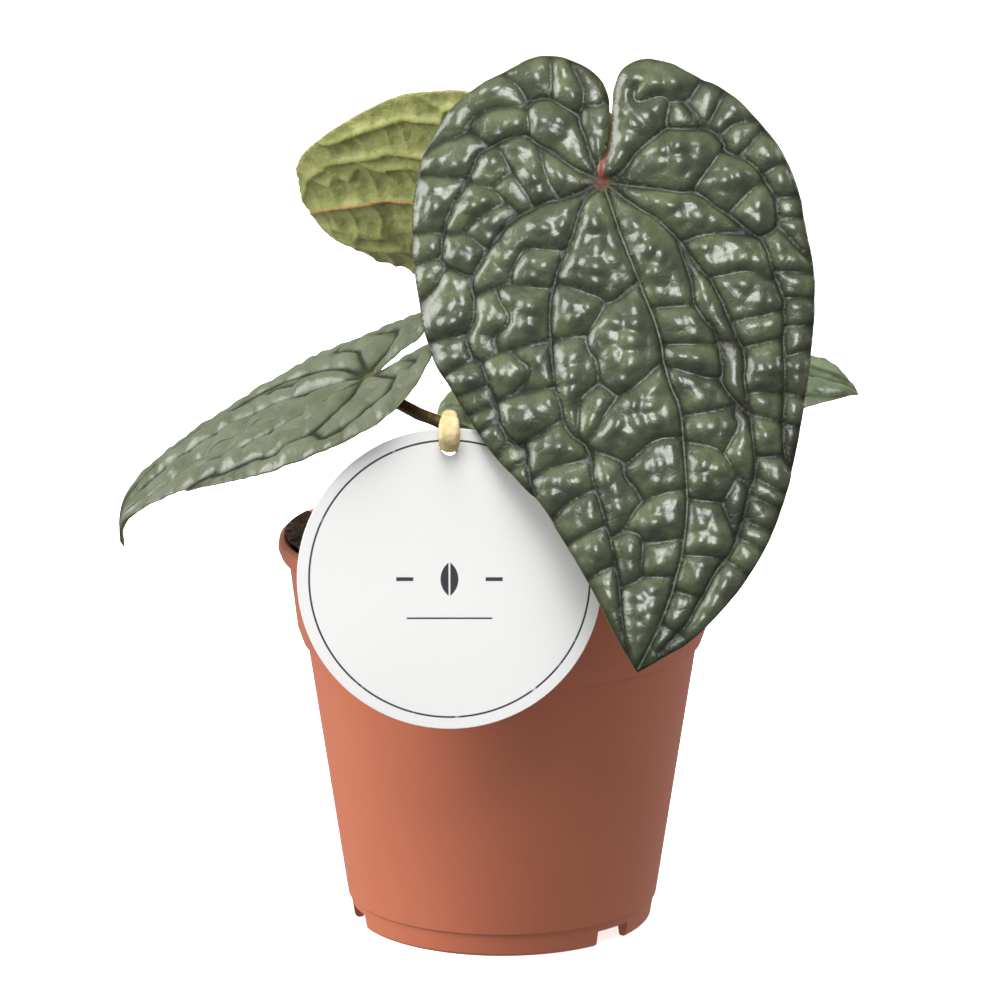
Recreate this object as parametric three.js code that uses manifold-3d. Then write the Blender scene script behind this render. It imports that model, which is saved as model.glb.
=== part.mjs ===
// Potted Anthurium luxurians: a young plant with four quilted leaves in a moulded nursery pot,
// and a round card tag tied to one leaf stalk. Millimetres, +Z up, the front faces -Y.
// Every piece is drawn round the pot's axis, with the bottom of its foot at 0. The whole is then
// moved by POT_AXIS, so that the origin lies under the middle of the plant's spread.
import * as THREE from 'three';
import Module from 'manifold-3d';
import { mergeVertices } from 'three/addons/utils/BufferGeometryUtils.js';

const wasm = await Module();
wasm.setup();

// Driving dimensions

const GAP = 0.3;                  // clearance between pieces that touch
const DEG = Math.PI / 180;

const POT_AXIS = [2.7, -10.6];

const POT_HEIGHT = 106;
const POT_RIM_RADIUS = 60;
const POT_FOOT_RADIUS = 40.3;
const POT_WALL = 1;
const POT_FLOOR_UNDERSIDE = 4.6;  // the floor is raised above the foot ring
const POT_FLOOR_THICKNESS = 1.6;
const POT_STEP_HEIGHT = 6.6;      // faint step round the wall above the foot
const COLLAR_BOTTOM = 76.5;       // where the wall turns out into the collar
const POT_SIDES = 48;
const NOTCH_COUNT = 3;            // water notches through the foot ring
const NOTCH_WIDTH = 11.7;
const NOTCH_HEIGHT = 4.3;
const NOTCH_FIRST_ANGLE = -43;
const DRAIN_COUNT = 6;
const DRAIN_RADIUS = 3.2;
const DRAIN_CIRCLE = 26;

const SOIL_LEVEL = 102;
const SOIL_LUMP = 1.3;
const SOIL_SIDES = 30;

const CROWN_RADIUS = 6.8;
const SHEATH_COUNT = 3;

const TAG_DIAMETER = 78.5;
const TAG_THICKNESS = 0.6;
const TAG_LEAN = 4.7;             // degrees, top leaning back to the plant
const TAG_CENTRE = [-13.6, -60.2, 108.7];
const TAG_HOLE_RADIUS = 2.2;
const TAG_HOLE_DROP = 4.9;        // hole centre below the card's top edge

const TIE_CENTRE = [-13.6, -55, 146.6];
const TIE_REACH = 5.8;            // half the loop's depth, front to back
const TIE_RISE = 4.3;             // half the loop's height
const TIE_THICKNESS = 2.2;
const TIE_WIDTH_IN_HOLE = 3.8;
const TIE_WIDTH_FRONT = 5.4;

const BLADE_THICKNESS = 0.8;
const STALK_SIDES = 8;
const STALK_END = 0.5;            // the stalk's width where it meets the blade, of its width below

// The leaf, drawn flat from above: x across, y up from the stalk joint, tip down.
// Each line is a run of x, y pairs in millimetres on the largest leaf.

const LEFT_EDGE = [
  0.2, 4.5, 0.9, 10, 1, 16, 0.6, 21, -1.3, 25.8, -5, 29.6, -11, 32.6, -16.5, 33.3, -22.4, 31, -30.2, 27,
  -37.2, 21.7, -42.3, 15.2, -46, 8, -48.2, -1, -49, -12, -48, -23.7, -46.2, -35.3, -44, -43.6, -39.7, -51.3,
  -35.1, -59.3, -29.4, -68, -23, -75.3, -17, -81.3, -12, -89, -7.2, -96.8, -2.6, -105, 1.5, -113.3,
  5.4, -120.5, 8.8, -126,
];
const RIGHT_EDGE = [
  8.8, -126, 12.4, -124, 20, -119.7, 27.3, -113.3, 34.3, -105.5, 40.8, -95.5, 45.4, -85, 48.5, -74,
  50.8, -62.4, 53, -48.2, 54.4, -35.3, 54.6, -25, 53, -14.7, 51.3, -4.4, 48, 5.2, 42, 14.4, 35, 22,
  26.8, 26.8, 20, 30.7, 13.7, 32.4, 8.4, 30.8, 5.2, 26.5, 4, 21.5, 3.4, 16, 2.7, 10.5, 0.2, 4.5,
];
const MAIN_VEINS = [
  [0, 0, 4, -11.5, 9, -24.5, 13, -35, 15.5, -46, 19, -56, 20.5, -66.5, 21.5, -79, 21, -90, 19, -100.5,
    16.5, -108.5, 13, -117, 9, -125],
  [0, 0, -3.5, -3.5, -7.5, -14, -11, -22, -13, -31, -13, -40.5, -12, -51, -10, -61, -4.5, -67.5,
    -2.5, -75.5, 0.5, -86, 3, -96, 4, -103, 5, -112.5, 7, -121],
  [0, 0, -6, -3, -13.5, -5, -21, -8.5, -27, -15, -31.5, -21.5, -33, -24, -32.5, -30, -34.5, -39,
    -30.5, -47, -27.5, -56, -25.5, -63, -23, -66.5, -20, -67.5, -18.5, -75.5, -17, -80.5],
  [0, 0, -6, 3, -12, 7.5, -19, 12, -28.5, 9.5, -32.5, 4.5, -34, 1, -38, -5, -40.5, -12.5, -41, -19,
    -37, -22.5, -33, -24],
  [0, 0, -2, 4.5, -4.5, 11, -6.5, 16.5, -13.5, 21.5, -20, 19.5],
  [0, 0, 6, -4.5, 12.5, -8.5, 18, -13.5, 22, -18.5, 27, -24.5, 31.5, -33.5, 35.5, -42, 36, -49.5,
    37.5, -59, 39, -71.5, 37.5, -79, 36, -86, 34, -92.5, 29.5, -99, 26, -105.5, 22.5, -112, 14, -121],
  [19, -14.5, 21.5, -22, 23, -30, 28, -37.5, 30, -45.5, 30, -50.5, 34.5, -57, 37.5, -60],
  [0, 0, 7, -1, 15, -2, 22.5, -2.5, 28.5, -6, 34.5, -10, 40, -14, 42.5, -19.5, 44.5, -25, 46.5, -30],
  [0, 0, 3.5, 1.5, 8.5, 7, 12, 10, 17, 14],
  [17, 14, 26, 14, 30, 11.5, 31, 9, 37, 6, 41, 2, 44, -3, 45, -9.5, 40, -14],
  [46.5, -30, 46.5, -45.5, 46, -62.5, 48, -74],
];
const CROSS_VEINS = [
  [20.5, -66.5, 27.5, -68, 32.5, -73, 37.5, -79.5], [30.5, -82.5, 32, -87, 33.5, -92],
  [-34, 1, -46, 2.5], [-40.5, -12.5, -48.5, -12.5], [-41, -19, -48, -21], [-40, -22, -42, -26, -47, -30.5],
  [-34.5, -39, -44.5, -41], [-32, -45.5, -41, -50], [-29.5, -52.5, -37.5, -55], [-27, -57, -34.5, -60],
  [-26.5, -61.5, -31.5, -64.5], [-23, -66.5, -27, -70.5], [-19.5, -72, -23.5, -74],
  [-2.5, -79.5, -7, -81.5, -12.5, -87], [0.5, -88.5, -5.5, -91.5, -9, -93.5],
  [3, -98.5, -0.5, -100, -4, -103], [-20, 19.5, -20, 21.5, -21.5, 24.5, -24.5, 27, -26, 29],
  [-34.5, 14, -28.5, 9.5], [-19, 12, -19, 15, -20, 19.5], [-6.5, 16.5, -6, 22, -7, 25.5, -10, 31.5],
  [-20, 19.5, -26.5, 20, -31.5, 18.5, -34.5, 14, -40, 11.5, -45, 8],
  [-13.5, 21.5, -14, 27, -14.5, 32.5], [-6, 19.5, -3, 19.5, 0, 21.5], [-17, 10.5, -14.5, 2.5, -10.5, -4],
  [-34, 1, -28.5, -1.5, -21, -8.5], [-40.5, -12.5, -36, -13, -29, -17.5], [-27, 9.5, -22, 2, -17, -6.5],
  [-28.5, -1.5, -25, 1.5, -22, 2], [-36, -13, -31.5, -9, -25, -5.5],
  [-10, -17.5, -17.5, -17, -20.5, -19, -22.5, -22, -23, -26.5], [-12.5, -27.5, -23, -26.5, -32.5, -29.5],
  [-13, -41, -23, -43, -30.5, -46.5], [-11.5, -53, -18.5, -54, -27, -57], [-9.5, -61, -14.5, -64.5, -20, -67],
  [-4.5, -71.5, -11, -73, -17.5, -76.5], [-26.5, -28.5, -23.5, -34, -27, -38.5, -26, -44],
  [-23, -43.5, -18.5, -47.5, -23, -55], [-12, -25.5, -4.5, -28.5, 0.5, -31.5, 6.5, -28, 9, -24.5],
  [0.5, -31.5, -3.5, -39, -1.5, -45.5, -1, -51.5], [-3.5, -39.5, -13, -41], [-1, -51.5, 4.5, -55.5],
  [-1, -51.5, -5, -55, -6, -62.5, -4.5, -67.5], [15.5, -46, 11, -50.5, 4.5, -55.5, 0, -62.5, -4.5, -67.5],
  [-4.5, -68, 2.5, -71, 5.5, -73], [20.5, -65.5, 15, -66, 10, -69.5, 5.5, -73, 8.5, -79, 10.5, -82.5],
  [21.5, -79, 16, -80, 10.5, -82.5, 7, -87, 2.5, -91.5], [2.5, -91.5, 6.5, -90, 10, -92.5, 20.5, -91.5],
  [10, -92.5, 10, -102], [4.5, -104.5, 10, -102, 19, -101.5], [12.5, -32.5, 24, -32], [15, -42, 29.5, -42],
  [16, -47.5, 24.5, -50, 30, -50.5], [20, -60.5, 28.5, -59, 34.5, -57], [30, -41, 35, -42],
  [31, -70, 34, -64, 33.5, -61, 34.5, -57], [21.5, -81.5, 30.5, -82.5], [30.5, -82.5, 32.5, -78.5, 34.5, -76],
  [20.5, -96, 31, -96.5], [18, -105, 26, -107], [15, -113.5, 20.5, -117],
  [27, -24.5, 35, -23, 41.5, -25, 44, -23], [21, -15, 27, -13.5, 31, -13, 40, -14],
  [33, -36, 40, -34.5, 46.5, -32.5], [36, -42.5, 46, -40], [37, -54, 46.5, -54], [37.5, -59.5, 46, -62],
  [39, -70.5, 47, -70.5], [39, -76, 44.5, -79, 46.5, -79.5], [38, -81, 45.5, -84], [36, -87, 43.5, -90],
  [34.5, -91.5, 40.5, -94.5], [31, -97, 36.5, -100.5], [32.5, -7.5, 37, -2.5, 41.5, 0.5],
  [22.5, -2.5, 26, 2, 31, 8.5], [17, 14, 18, 21, 10.5, 20.5, 10, 24.5],
  [18, 21, 21.5, 21, 24.5, 24.5, 26, 26.5], [21.5, 21, 24.5, 17, 26, 14.5],
  [27, 14, 30, 20, 31.5, 23.5], [30.5, 12.5, 33, 15, 39, 16.5],
  [35, 7.5, 37.5, 9.5, 41, 14.5], [41, 2.5, 47.5, 6.5], [44.5, -3.5, 51, -3], [45, -9, 52, -8.5],
  [45, -11, 53, -19.5], [44, -22.5, 54, -23], [46.5, -29.5, 54, -29.5], [46.5, -37, 54, -36.5],
  [46, -45.5, 53, -42.5], [46.5, -54, 52, -55.5], [46, -62, 50.5, -63],
];
const LEAF_TIP_SLANT = Math.atan2(8.8, 126);

// Each leaf: where its stalk meets it, which way it points, its size, and how it bends.
// turn is the heading of the tip from +X, dip is how far it points down, roll is about the midrib.
// bend, tipBend and backBend are curvatures along the midrib, arch is the curvature across it.

const LEAVES = [
  {
    name: 'leaf_front', joint: [25.6, -40, 208.6], turn: -90.3, dip: 69.5, roll: 1.2, slanted: true,
    size: 1, width: 1.005, bend: 0.0006, tipBend: 0.0006, bendFrom: 60, backBend: 0.002, arch: 0.004,
    fold: 0, spread: 0, mirror: 1, swell: 2.1, grain: 3.25, stalkRadius: 1.8,
    stalk: [[5.5, -8.2, 92], [7, -7.5, 112], [9, -6, 130], [14, -3, 160], [21, -1, 195], [26, -9, 217],
      [27.3, -22, 221.5], [26.4, -33, 216.5]],
  },
  {
    name: 'leaf_back', joint: [8.2, 31, 188], turn: 138.2, dip: 14.7, roll: 48.7, slanted: false,
    size: 0.778, width: 1.006, bend: 0.0009, tipBend: -0.0194, bendFrom: 53.6, backBend: 0.002, arch: -0.0067,
    fold: -0.135, spread: 2, mirror: 1, swell: 1.7, grain: 5.3, stalkRadius: 1.6,
    stalk: [[-5, 8.2, 92], [-4.5, 6, 112], [-3.5, 3.5, 134], [0, 12, 162], [5, 25, 181]],
  },
  {
    name: 'leaf_left', joint: [-34.5, -30.7, 155.2], turn: 173.6, dip: 24.1, roll: -12, slanted: false,
    size: 0.674, width: 1, bend: 0.0034, tipBend: 0.1065, bendFrom: 73.9, backBend: -0.0132, arch: 0.0139,
    fold: -0.189, spread: 3.8, mirror: -1, swell: 1.6, grain: 5.2, stalkRadius: 1.6,
    stalk: [[-3.4, -9.2, 92], [-1, -22, 108], [-1, -39, 128], [-6, -50, 142], [-13.6, -53.3, 147.2],
      [-21, -49.5, 149.6], [-28, -41, 151.4]],
  },
  {
    name: 'leaf_right', joint: [7.4, 31, 140], turn: -4.4, dip: 2.5, roll: 26.5, slanted: false,
    size: 0.709, width: 1.028, bend: -0.0011, tipBend: 0.0735, bendFrom: 83.4, backBend: 0.0063, arch: 0.0066,
    fold: 0.161, spread: 2, mirror: 1, swell: 1.6, grain: 5.3, stalkRadius: 1.6,
    stalk: [[9, 4, 92], [10, 13, 110], [8.5, 23, 127]],
  },
];

// Finishes

const finish = (color, roughness) => new THREE.MeshStandardMaterial({ color, roughness, metalness: 0 });

const MATERIALS = {
  pot: finish(0xb5694a, 0.55),
  soil: finish(0x3d2c1e, 0.95),
  crown: finish(0x6b4a2c, 0.8),
  upper: finish(0x4b5540, 0.38),
  olive: finish(0x7f8450, 0.6),
  grey: finish(0x76806a, 0.45),
  stalk: finish(0x4a3018, 0.5),
  card: finish(0xf2f1ee, 0.8),
  tie: finish(0xe6d3a0, 0.85),
};

// Closed meshes

// A geometry with shared vertices, no empty triangles, and its faces pointing out.
function welded(geometry) {
  const bare = geometry.clone();
  bare.deleteAttribute('normal');
  bare.deleteAttribute('uv');
  const merged = mergeVertices(bare, 1e-4);
  const place = merged.getAttribute('position');
  const index = merged.getIndex().array;
  const kept = [];
  let volume = 0;
  const [a, b, c] = [new THREE.Vector3(), new THREE.Vector3(), new THREE.Vector3()];
  for (let i = 0; i < index.length; i += 3) {
    const [p, q, r] = [index[i], index[i + 1], index[i + 2]];
    if (p === q || q === r || r === p) continue;
    kept.push(p, q, r);
    a.fromBufferAttribute(place, p);
    b.fromBufferAttribute(place, q);
    c.fromBufferAttribute(place, r);
    volume += a.dot(b.cross(c));
  }
  if (volume < 0) kept.reverse();
  merged.setIndex(kept);
  return merged;
}

function meshFrom(points, triangles) {
  const geometry = new THREE.BufferGeometry();
  geometry.setAttribute('position', new THREE.Float32BufferAttribute(points.flatMap((p) => p.toArray()), 3));
  geometry.setIndex(triangles.flat());
  return welded(geometry);
}

function solid(geometry) {
  const closed = welded(geometry);
  const vertProperties = new Float32Array(closed.getAttribute('position').array);
  const triVerts = new Uint32Array(closed.getIndex().array);
  return new wasm.Manifold(new wasm.Mesh({ numProp: 3, vertProperties, triVerts }));
}

function geometryOf(body) {
  const mesh = body.getMesh();
  const geometry = new THREE.BufferGeometry();
  geometry.setAttribute('position', new THREE.BufferAttribute(mesh.vertProperties, 3));
  geometry.setIndex(new THREE.BufferAttribute(mesh.triVerts, 1));
  geometry.computeVertexNormals();
  return geometry;
}

function without(geometry, cutters) {
  return geometryOf(cutters.reduce((body, cutter) => body.subtract(solid(cutter)), solid(geometry)));
}

function joined(geometries) {
  return geometryOf(geometries.map(solid).reduce((whole, body) => whole.add(body)));
}

// A profile of radius, height pairs turned about the Z axis.
function turned(profile, sides) {
  const points = profile.map(([radius, height]) => new THREE.Vector2(radius, height));
  return new THREE.LatheGeometry(points, sides).rotateX(Math.PI / 2);
}

// A closed tube along a curve. shape(u) gives its two half widths, along the curve's binormal and normal.
function tube(curve, steps, sides, shape, looped = false) {
  const frames = curve.computeFrenetFrames(steps, looped);
  const rings = looped ? steps : steps + 1;
  const points = [];
  for (let i = 0; i < rings; i += 1) {
    const [wide, thick] = shape(i / steps);
    const centre = curve.getPointAt(i / steps);
    for (let k = 0; k < sides; k += 1) {
      const angle = (k * 2 * Math.PI) / sides;
      points.push(centre.clone()
        .addScaledVector(frames.binormals[i], wide * Math.cos(angle))
        .addScaledVector(frames.normals[i], thick * Math.sin(angle)));
    }
  }
  const triangles = [];
  for (let i = 0; i < (looped ? rings : rings - 1); i += 1) {
    for (let k = 0; k < sides; k += 1) {
      const next = (k + 1) % sides;
      const [here, there] = [i * sides, ((i + 1) % rings) * sides];
      triangles.push([here + k, here + next, there + next], [here + k, there + next, there + k]);
    }
  }
  if (!looped) {
    const last = (rings - 1) * sides;
    for (let k = 1; k < sides - 1; k += 1) {
      triangles.push([0, k + 1, k], [last, last + k, last + k + 1]);
    }
  }
  return meshFrom(points, triangles);
}

// The flat drawing of the leaf

function spaced(run, step) {
  const points = [];
  for (let i = 0; i < run.length; i += 2) points.push(new THREE.Vector2(run[i], run[i + 1]));
  const curve = new THREE.SplineCurve(points);
  return curve.getSpacedPoints(Math.max(1, Math.round(curve.getLength() / step)));
}

function segmentDistance(p, a, b) {
  const along = b.clone().sub(a);
  const t = THREE.MathUtils.clamp(p.clone().sub(a).dot(along) / along.lengthSq(), 0, 1);
  return p.distanceTo(along.multiplyScalar(t).add(a));
}

function runDistance(p, runs) {
  let nearest = Infinity;
  for (const run of runs) {
    for (let i = 1; i < run.length; i += 1) {
      nearest = Math.min(nearest, segmentDistance(p, run[i - 1], run[i]));
    }
  }
  return nearest;
}

function inside(p, loop) {
  let within = false;
  for (let i = 0, j = loop.length - 1; i < loop.length; j = i, i += 1) {
    const [a, b] = [loop[i], loop[j]];
    const spans = (a.y > p.y) !== (b.y > p.y);
    if (spans && p.x < ((b.x - a.x) * (p.y - a.y)) / (b.y - a.y) + a.x) within = !within;
  }
  return within;
}

const NET = [...MAIN_VEINS, ...CROSS_VEINS].map((run) => spaced(run, 2));

// A fixed series of numbers from 0 to 1, the same each time.
function* series(seed) {
  let state = seed;
  while (true) {
    state = (state * 16807) % 2147483647;
    yield state / 2147483647;
  }
}

// Points on the edge, on every vein and in the cells between, so that the triangles follow the net.
function leafPoints(loop, grain) {
  const points = [...loop];
  const clear = (p, room) => points.every((q) => p.distanceTo(q) > room);
  for (const run of [...MAIN_VEINS, ...CROSS_VEINS]) {
    for (const p of spaced(run, grain)) {
      if (inside(p, loop) && clear(p, grain * 0.6)) points.push(p);
    }
  }
  const random = series(7);
  const rowStep = grain * 0.87;
  for (let row = 0; row * rowStep < 170; row += 1) {
    for (let column = 0; column * grain < 116; column += 1) {
      const p = new THREE.Vector2(
        -54 + (column + (row % 2) / 2) * grain + 0.2 * random.next().value,
        36 - row * rowStep + 0.2 * random.next().value,
      );
      if (inside(p, loop) && clear(p, grain * 0.66)) points.push(p);
    }
  }
  return points;
}

// Delaunay triangles of points in a plane, as index triples.
function delaunay(points) {
  const far = 1e4;
  const outer = [new THREE.Vector2(-far, -far), new THREE.Vector2(far, -far), new THREE.Vector2(0, far)];
  const all = [...points, ...outer];
  const circled = (a, b, c) => {
    const [p, q, r] = [all[a], all[b].clone().sub(all[a]), all[c].clone().sub(all[a])];
    const cross = 2 * (q.x * r.y - q.y * r.x);
    const centre = new THREE.Vector2(
      (r.y * q.lengthSq() - q.y * r.lengthSq()) / cross,
      (q.x * r.lengthSq() - r.x * q.lengthSq()) / cross,
    );
    return { corners: [a, b, c], centre: centre.clone().add(p), reach: centre.lengthSq() };
  };
  let triangles = [circled(points.length, points.length + 1, points.length + 2)];
  points.forEach((p, i) => {
    const rim = new Map();
    triangles = triangles.filter(({ corners, centre, reach }) => {
      if (p.distanceToSquared(centre) >= reach) return true;
      corners.forEach((from, k) => {
        const to = corners[(k + 1) % 3];
        if (!rim.delete(`${to} ${from}`)) rim.set(`${from} ${to}`, [from, to]);
      });
      return false;
    });
    for (const [from, to] of rim.values()) triangles.push(circled(from, to, i));
  });
  return triangles.map(({ corners }) => corners).filter((corners) => Math.max(...corners) < points.length);
}

// Triangles of the drawing: those whose three sides lie in the leaf, without slivers on its edge.
function leafTriangles(points, loop) {
  const ring = [[...loop, loop[0]]];
  const belongs = (p) => inside(p, loop) || runDistance(p, ring) < 0.3;
  return delaunay(points).filter((corners) => {
    const [a, b, c] = corners.map((i) => points[i]);
    const area = Math.abs((b.x - a.x) * (c.y - a.y) - (b.y - a.y) * (c.x - a.x)) / 2;
    const longest = Math.max(a.distanceTo(b), b.distanceTo(c), c.distanceTo(a));
    if ((2 * area) / longest < 0.12) return false;
    const middles = [a.clone().lerp(b, 0.5), b.clone().lerp(c, 0.5), c.clone().lerp(a, 0.5)];
    return middles.every(belongs);
  });
}

// How far the leaf stands up from its veins: low on the net, high in the middle of each cell.
function quilt(p, loop) {
  const cell = 1 - (1 - Math.min(runDistance(p, NET) / 5, 1)) ** 2;
  const edge = Math.min(runDistance(p, [[...loop, loop[0]]]) / 5, 1);
  return cell * (0.3 + 0.7 * edge);
}

// The leaf in space

// A point bent along an arc: how far forward and how far up it lies, and the arc's turn there.
function arcTo(length, curvature, start) {
  if (Math.abs(curvature) < 1e-6) return [length * Math.cos(start), -length * Math.sin(start), start];
  const end = start + curvature * length;
  return [(Math.sin(end) - Math.sin(start)) / curvature, (Math.cos(end) - Math.cos(start)) / curvature, end];
}

function leafFrame(leaf) {
  const [turn, dip, roll] = [leaf.turn * DEG, leaf.dip * DEG, leaf.roll * DEG];
  const forward = new THREE.Vector3(
    Math.cos(turn) * Math.cos(dip), Math.sin(turn) * Math.cos(dip), -Math.sin(dip),
  );
  const across = new THREE.Vector3(-Math.sin(turn), Math.cos(turn), 0);
  const up = forward.clone().cross(across);
  return {
    forward,
    across: across.clone().multiplyScalar(Math.cos(roll)).addScaledVector(up, Math.sin(roll)),
    up: up.clone().multiplyScalar(Math.cos(roll)).addScaledVector(across, -Math.sin(roll)),
  };
}

// Where a point of the flat drawing lies on the bent leaf, before the quilting.
function placed(leaf, x, y) {
  const { forward, across, up } = leafFrame(leaf);
  const flat = new THREE.Vector2(x, y);
  if (!leaf.slanted) flat.rotateAround(new THREE.Vector2(), -LEAF_TIP_SLANT);
  const nearSlit = THREE.MathUtils.clamp(1 - Math.abs(flat.x) / 45, 0, 1);
  const lobe = THREE.MathUtils.clamp(flat.y / 30, 0, 1) * nearSlit;
  const wide = (flat.x + Math.sign(flat.x + 0.3) * leaf.spread * lobe) * leaf.size * leaf.width * leaf.mirror;
  const along = -flat.y * leaf.size;
  let [ahead, rise, turn] = arcTo(Math.min(along, leaf.bendFrom), along < 0 ? leaf.backBend : leaf.bend, 0);
  if (along > leaf.bendFrom) {
    const [more, higher, end] = arcTo(along - leaf.bendFrom, leaf.tipBend, turn);
    [ahead, rise, turn] = [ahead + more, rise + higher, end];
  }
  const [out, lift] = arcTo(Math.abs(wide), leaf.arch, leaf.fold);
  return new THREE.Vector3(...leaf.joint)
    .addScaledVector(across, Math.sign(wide) * out)
    .addScaledVector(forward, ahead + Math.sin(turn) * lift)
    .addScaledVector(up, rise + Math.cos(turn) * lift);
}

function faceNormal(leaf, x, y) {
  const step = 0.4;
  const eastward = placed(leaf, x + step, y).sub(placed(leaf, x - step, y));
  const northward = placed(leaf, x, y + step).sub(placed(leaf, x, y - step));
  return eastward.cross(northward).multiplyScalar(leaf.mirror).normalize();
}

// The blade: the same triangles on its upper and lower face, joined round the edge.
function blade(leaf) {
  const step = leaf.grain;
  const loop = [...spaced(LEFT_EDGE, step).slice(0, -1), ...spaced(RIGHT_EDGE, step).slice(0, -1)];
  const flat = leafPoints(loop, leaf.grain);
  const faces = leafTriangles(flat, loop);
  const raised = flat.map((p) => {
    const normal = faceNormal(leaf, p.x, p.y);
    const height = quilt(p, loop) * leaf.swell;
    const middle = placed(leaf, p.x, p.y).addScaledVector(normal, height);
    return [middle.clone().addScaledVector(normal, BLADE_THICKNESS / 2),
      middle.addScaledVector(normal, -BLADE_THICKNESS / 2)];
  });
  const points = raised.flat();
  const triangles = [];
  const rim = new Map();
  for (const corners of faces) {
    const [a, b, c] = corners;
    triangles.push([2 * a, 2 * b, 2 * c], [2 * a + 1, 2 * c + 1, 2 * b + 1]);
    corners.forEach((from, k) => {
      const to = corners[(k + 1) % 3];
      if (!rim.delete(`${to} ${from}`)) rim.set(`${from} ${to}`, [from, to]);
    });
  }
  for (const [from, to] of rim.values()) {
    triangles.push([2 * from, 2 * from + 1, 2 * to + 1], [2 * from, 2 * to + 1, 2 * to]);
  }
  return meshFrom(points, triangles);
}

// The stalk: thicker where it sheathes the crown, slim above, with a swollen knee under the blade.
// It ends just under the blade, lower the more it comes in along the blade instead of square to it.
function stalkCurve(leaf) {
  const points = leaf.stalk.map((p) => new THREE.Vector3(...p));
  const joint = placed(leaf, 0, 0);
  const normal = faceNormal(leaf, 0, 0);
  const slope = joint.clone().sub(points.at(-1)).normalize().cross(normal).length();
  const drop = BLADE_THICKNESS / 2 + GAP + leaf.stalkRadius * STALK_END * slope;
  points.push(joint.addScaledVector(normal, -drop));
  return new THREE.CatmullRomCurve3(points, false, 'centripetal');
}

function stalk(leaf, extra = 0) {
  const curve = stalkCurve(leaf);
  const length = curve.getLength();
  const shape = (u) => {
    const base = Math.max(0, 1 - (u * length) / 22);
    const knee = Math.max(0, 1 - Math.abs((1 - u) * length - 5) / 6);
    const end = Math.max(0, 1 - ((1 - u) * length) / 3);
    const radius = leaf.stalkRadius * (1 + 0.35 * base + 0.3 * knee) * (1 - (1 - STALK_END) * end) + extra;
    return [radius, radius];
  };
  return tube(curve, Math.round(length / 6), STALK_SIDES, shape);
}

// Pot

function potGeometry() {
  const floor = POT_FLOOR_UNDERSIDE + POT_FLOOR_THICKNESS;
  const lip = POT_HEIGHT;
  const body = turned([
    [0, POT_FLOOR_UNDERSIDE], [37, POT_FLOOR_UNDERSIDE], [38, 0], [POT_FOOT_RADIUS - 0.7, 0],
    [POT_FOOT_RADIUS, 0.7], [41.2, POT_STEP_HEIGHT - 0.4], [41.8, POT_STEP_HEIGHT],
    [52.3, COLLAR_BOTTOM], [53.6, COLLAR_BOTTOM + 1.6], [55, COLLAR_BOTTOM + 5], [57.2, lip - 6.4],
    [59.2, lip - 5.2], [POT_RIM_RADIUS, lip - 3.2], [POT_RIM_RADIUS - 0.3, lip - 0.9],
    [POT_RIM_RADIUS - 1.5, lip], [57.1, lip - 0.9], [56.2, lip - 5], [54, COLLAR_BOTTOM + 5],
    [52.3 - POT_WALL, COLLAR_BOTTOM], [41.8 - POT_WALL, floor], [0, floor],
  ], POT_SIDES);
  const cutters = [];
  for (let i = 0; i < NOTCH_COUNT; i += 1) {
    cutters.push(new THREE.BoxGeometry(12, NOTCH_WIDTH, 2 * NOTCH_HEIGHT)
      .translate(POT_FOOT_RADIUS, 0, 0)
      .rotateZ((NOTCH_FIRST_ANGLE + (i * 360) / NOTCH_COUNT) * DEG));
  }
  for (let i = 0; i < DRAIN_COUNT; i += 1) {
    cutters.push(new THREE.CylinderGeometry(DRAIN_RADIUS, DRAIN_RADIUS, 8, 12)
      .rotateX(Math.PI / 2)
      .translate(DRAIN_CIRCLE, 0, floor)
      .rotateZ((i * 360 * DEG) / DRAIN_COUNT));
  }
  return without(body, cutters);
}

// Soil: fills the pot to just under its rim, with an uneven top and plain holes for what grows in it.
function soilGeometry() {
  const floor = POT_FLOOR_UNDERSIDE + POT_FLOOR_THICKNESS + GAP;
  const top = SOIL_LEVEL;
  const body = welded(turned([
    [0, floor], [41.8 - POT_WALL - GAP, floor], [52.3 - POT_WALL - GAP, COLLAR_BOTTOM],
    [54 - GAP, COLLAR_BOTTOM + 5], [55.4, top - 2], [52, top], [42, top], [31, top], [20, top],
    [10, top], [0, top],
  ], SOIL_SIDES));
  const place = body.getAttribute('position');
  for (let i = 0; i < place.count; i += 1) {
    const [x, y, z] = [place.getX(i), place.getY(i), place.getZ(i)];
    if (z > top - 1) {
      const lumps = Math.sin(x * 0.21 + 1) * Math.cos(y * 0.17) + 0.6 * Math.sin(x * 0.5 - y * 0.43 + 2);
      place.setZ(i, z + SOIL_LUMP * lumps * 0.7);
    }
  }
  return without(body, [crownCore(GAP), ...LEAVES.map((leaf) => stalk(leaf, GAP))]);
}

// Crown: the short ringed stem that the leaf stalks spring from, with dry pointed sheaths.
function crownCore(extra) {
  const r = CROWN_RADIUS + extra;
  return turned([
    [0, 80 - extra], [r * 0.7, 80 - extra], [r, 86], [r * 0.92, 92], [r, 97], [r * 0.9, 101], [r * 0.96, 104],
    [r * 0.78, 107], [r * 0.45, 109.5 + extra], [0, 110 + extra],
  ], 16);
}

function crownGeometry() {
  const sheaths = [];
  for (let i = 0; i < SHEATH_COUNT; i += 1) {
    const curve = new THREE.QuadraticBezierCurve3(
      new THREE.Vector3(2.4, 0, 102), new THREE.Vector3(3.2, 0, 108), new THREE.Vector3(2 + i, 0, 113 - i),
    );
    const sheath = tube(curve, 6, 8, (u) => [2.6 * (1 - u) + 0.35, 0.9 * (1 - u) + 0.3]);
    sheaths.push(sheath.rotateZ((25 + i * 125) * DEG));
  }
  return joined([crownCore(0), ...sheaths]);
}

// Tag and its tie

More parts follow.
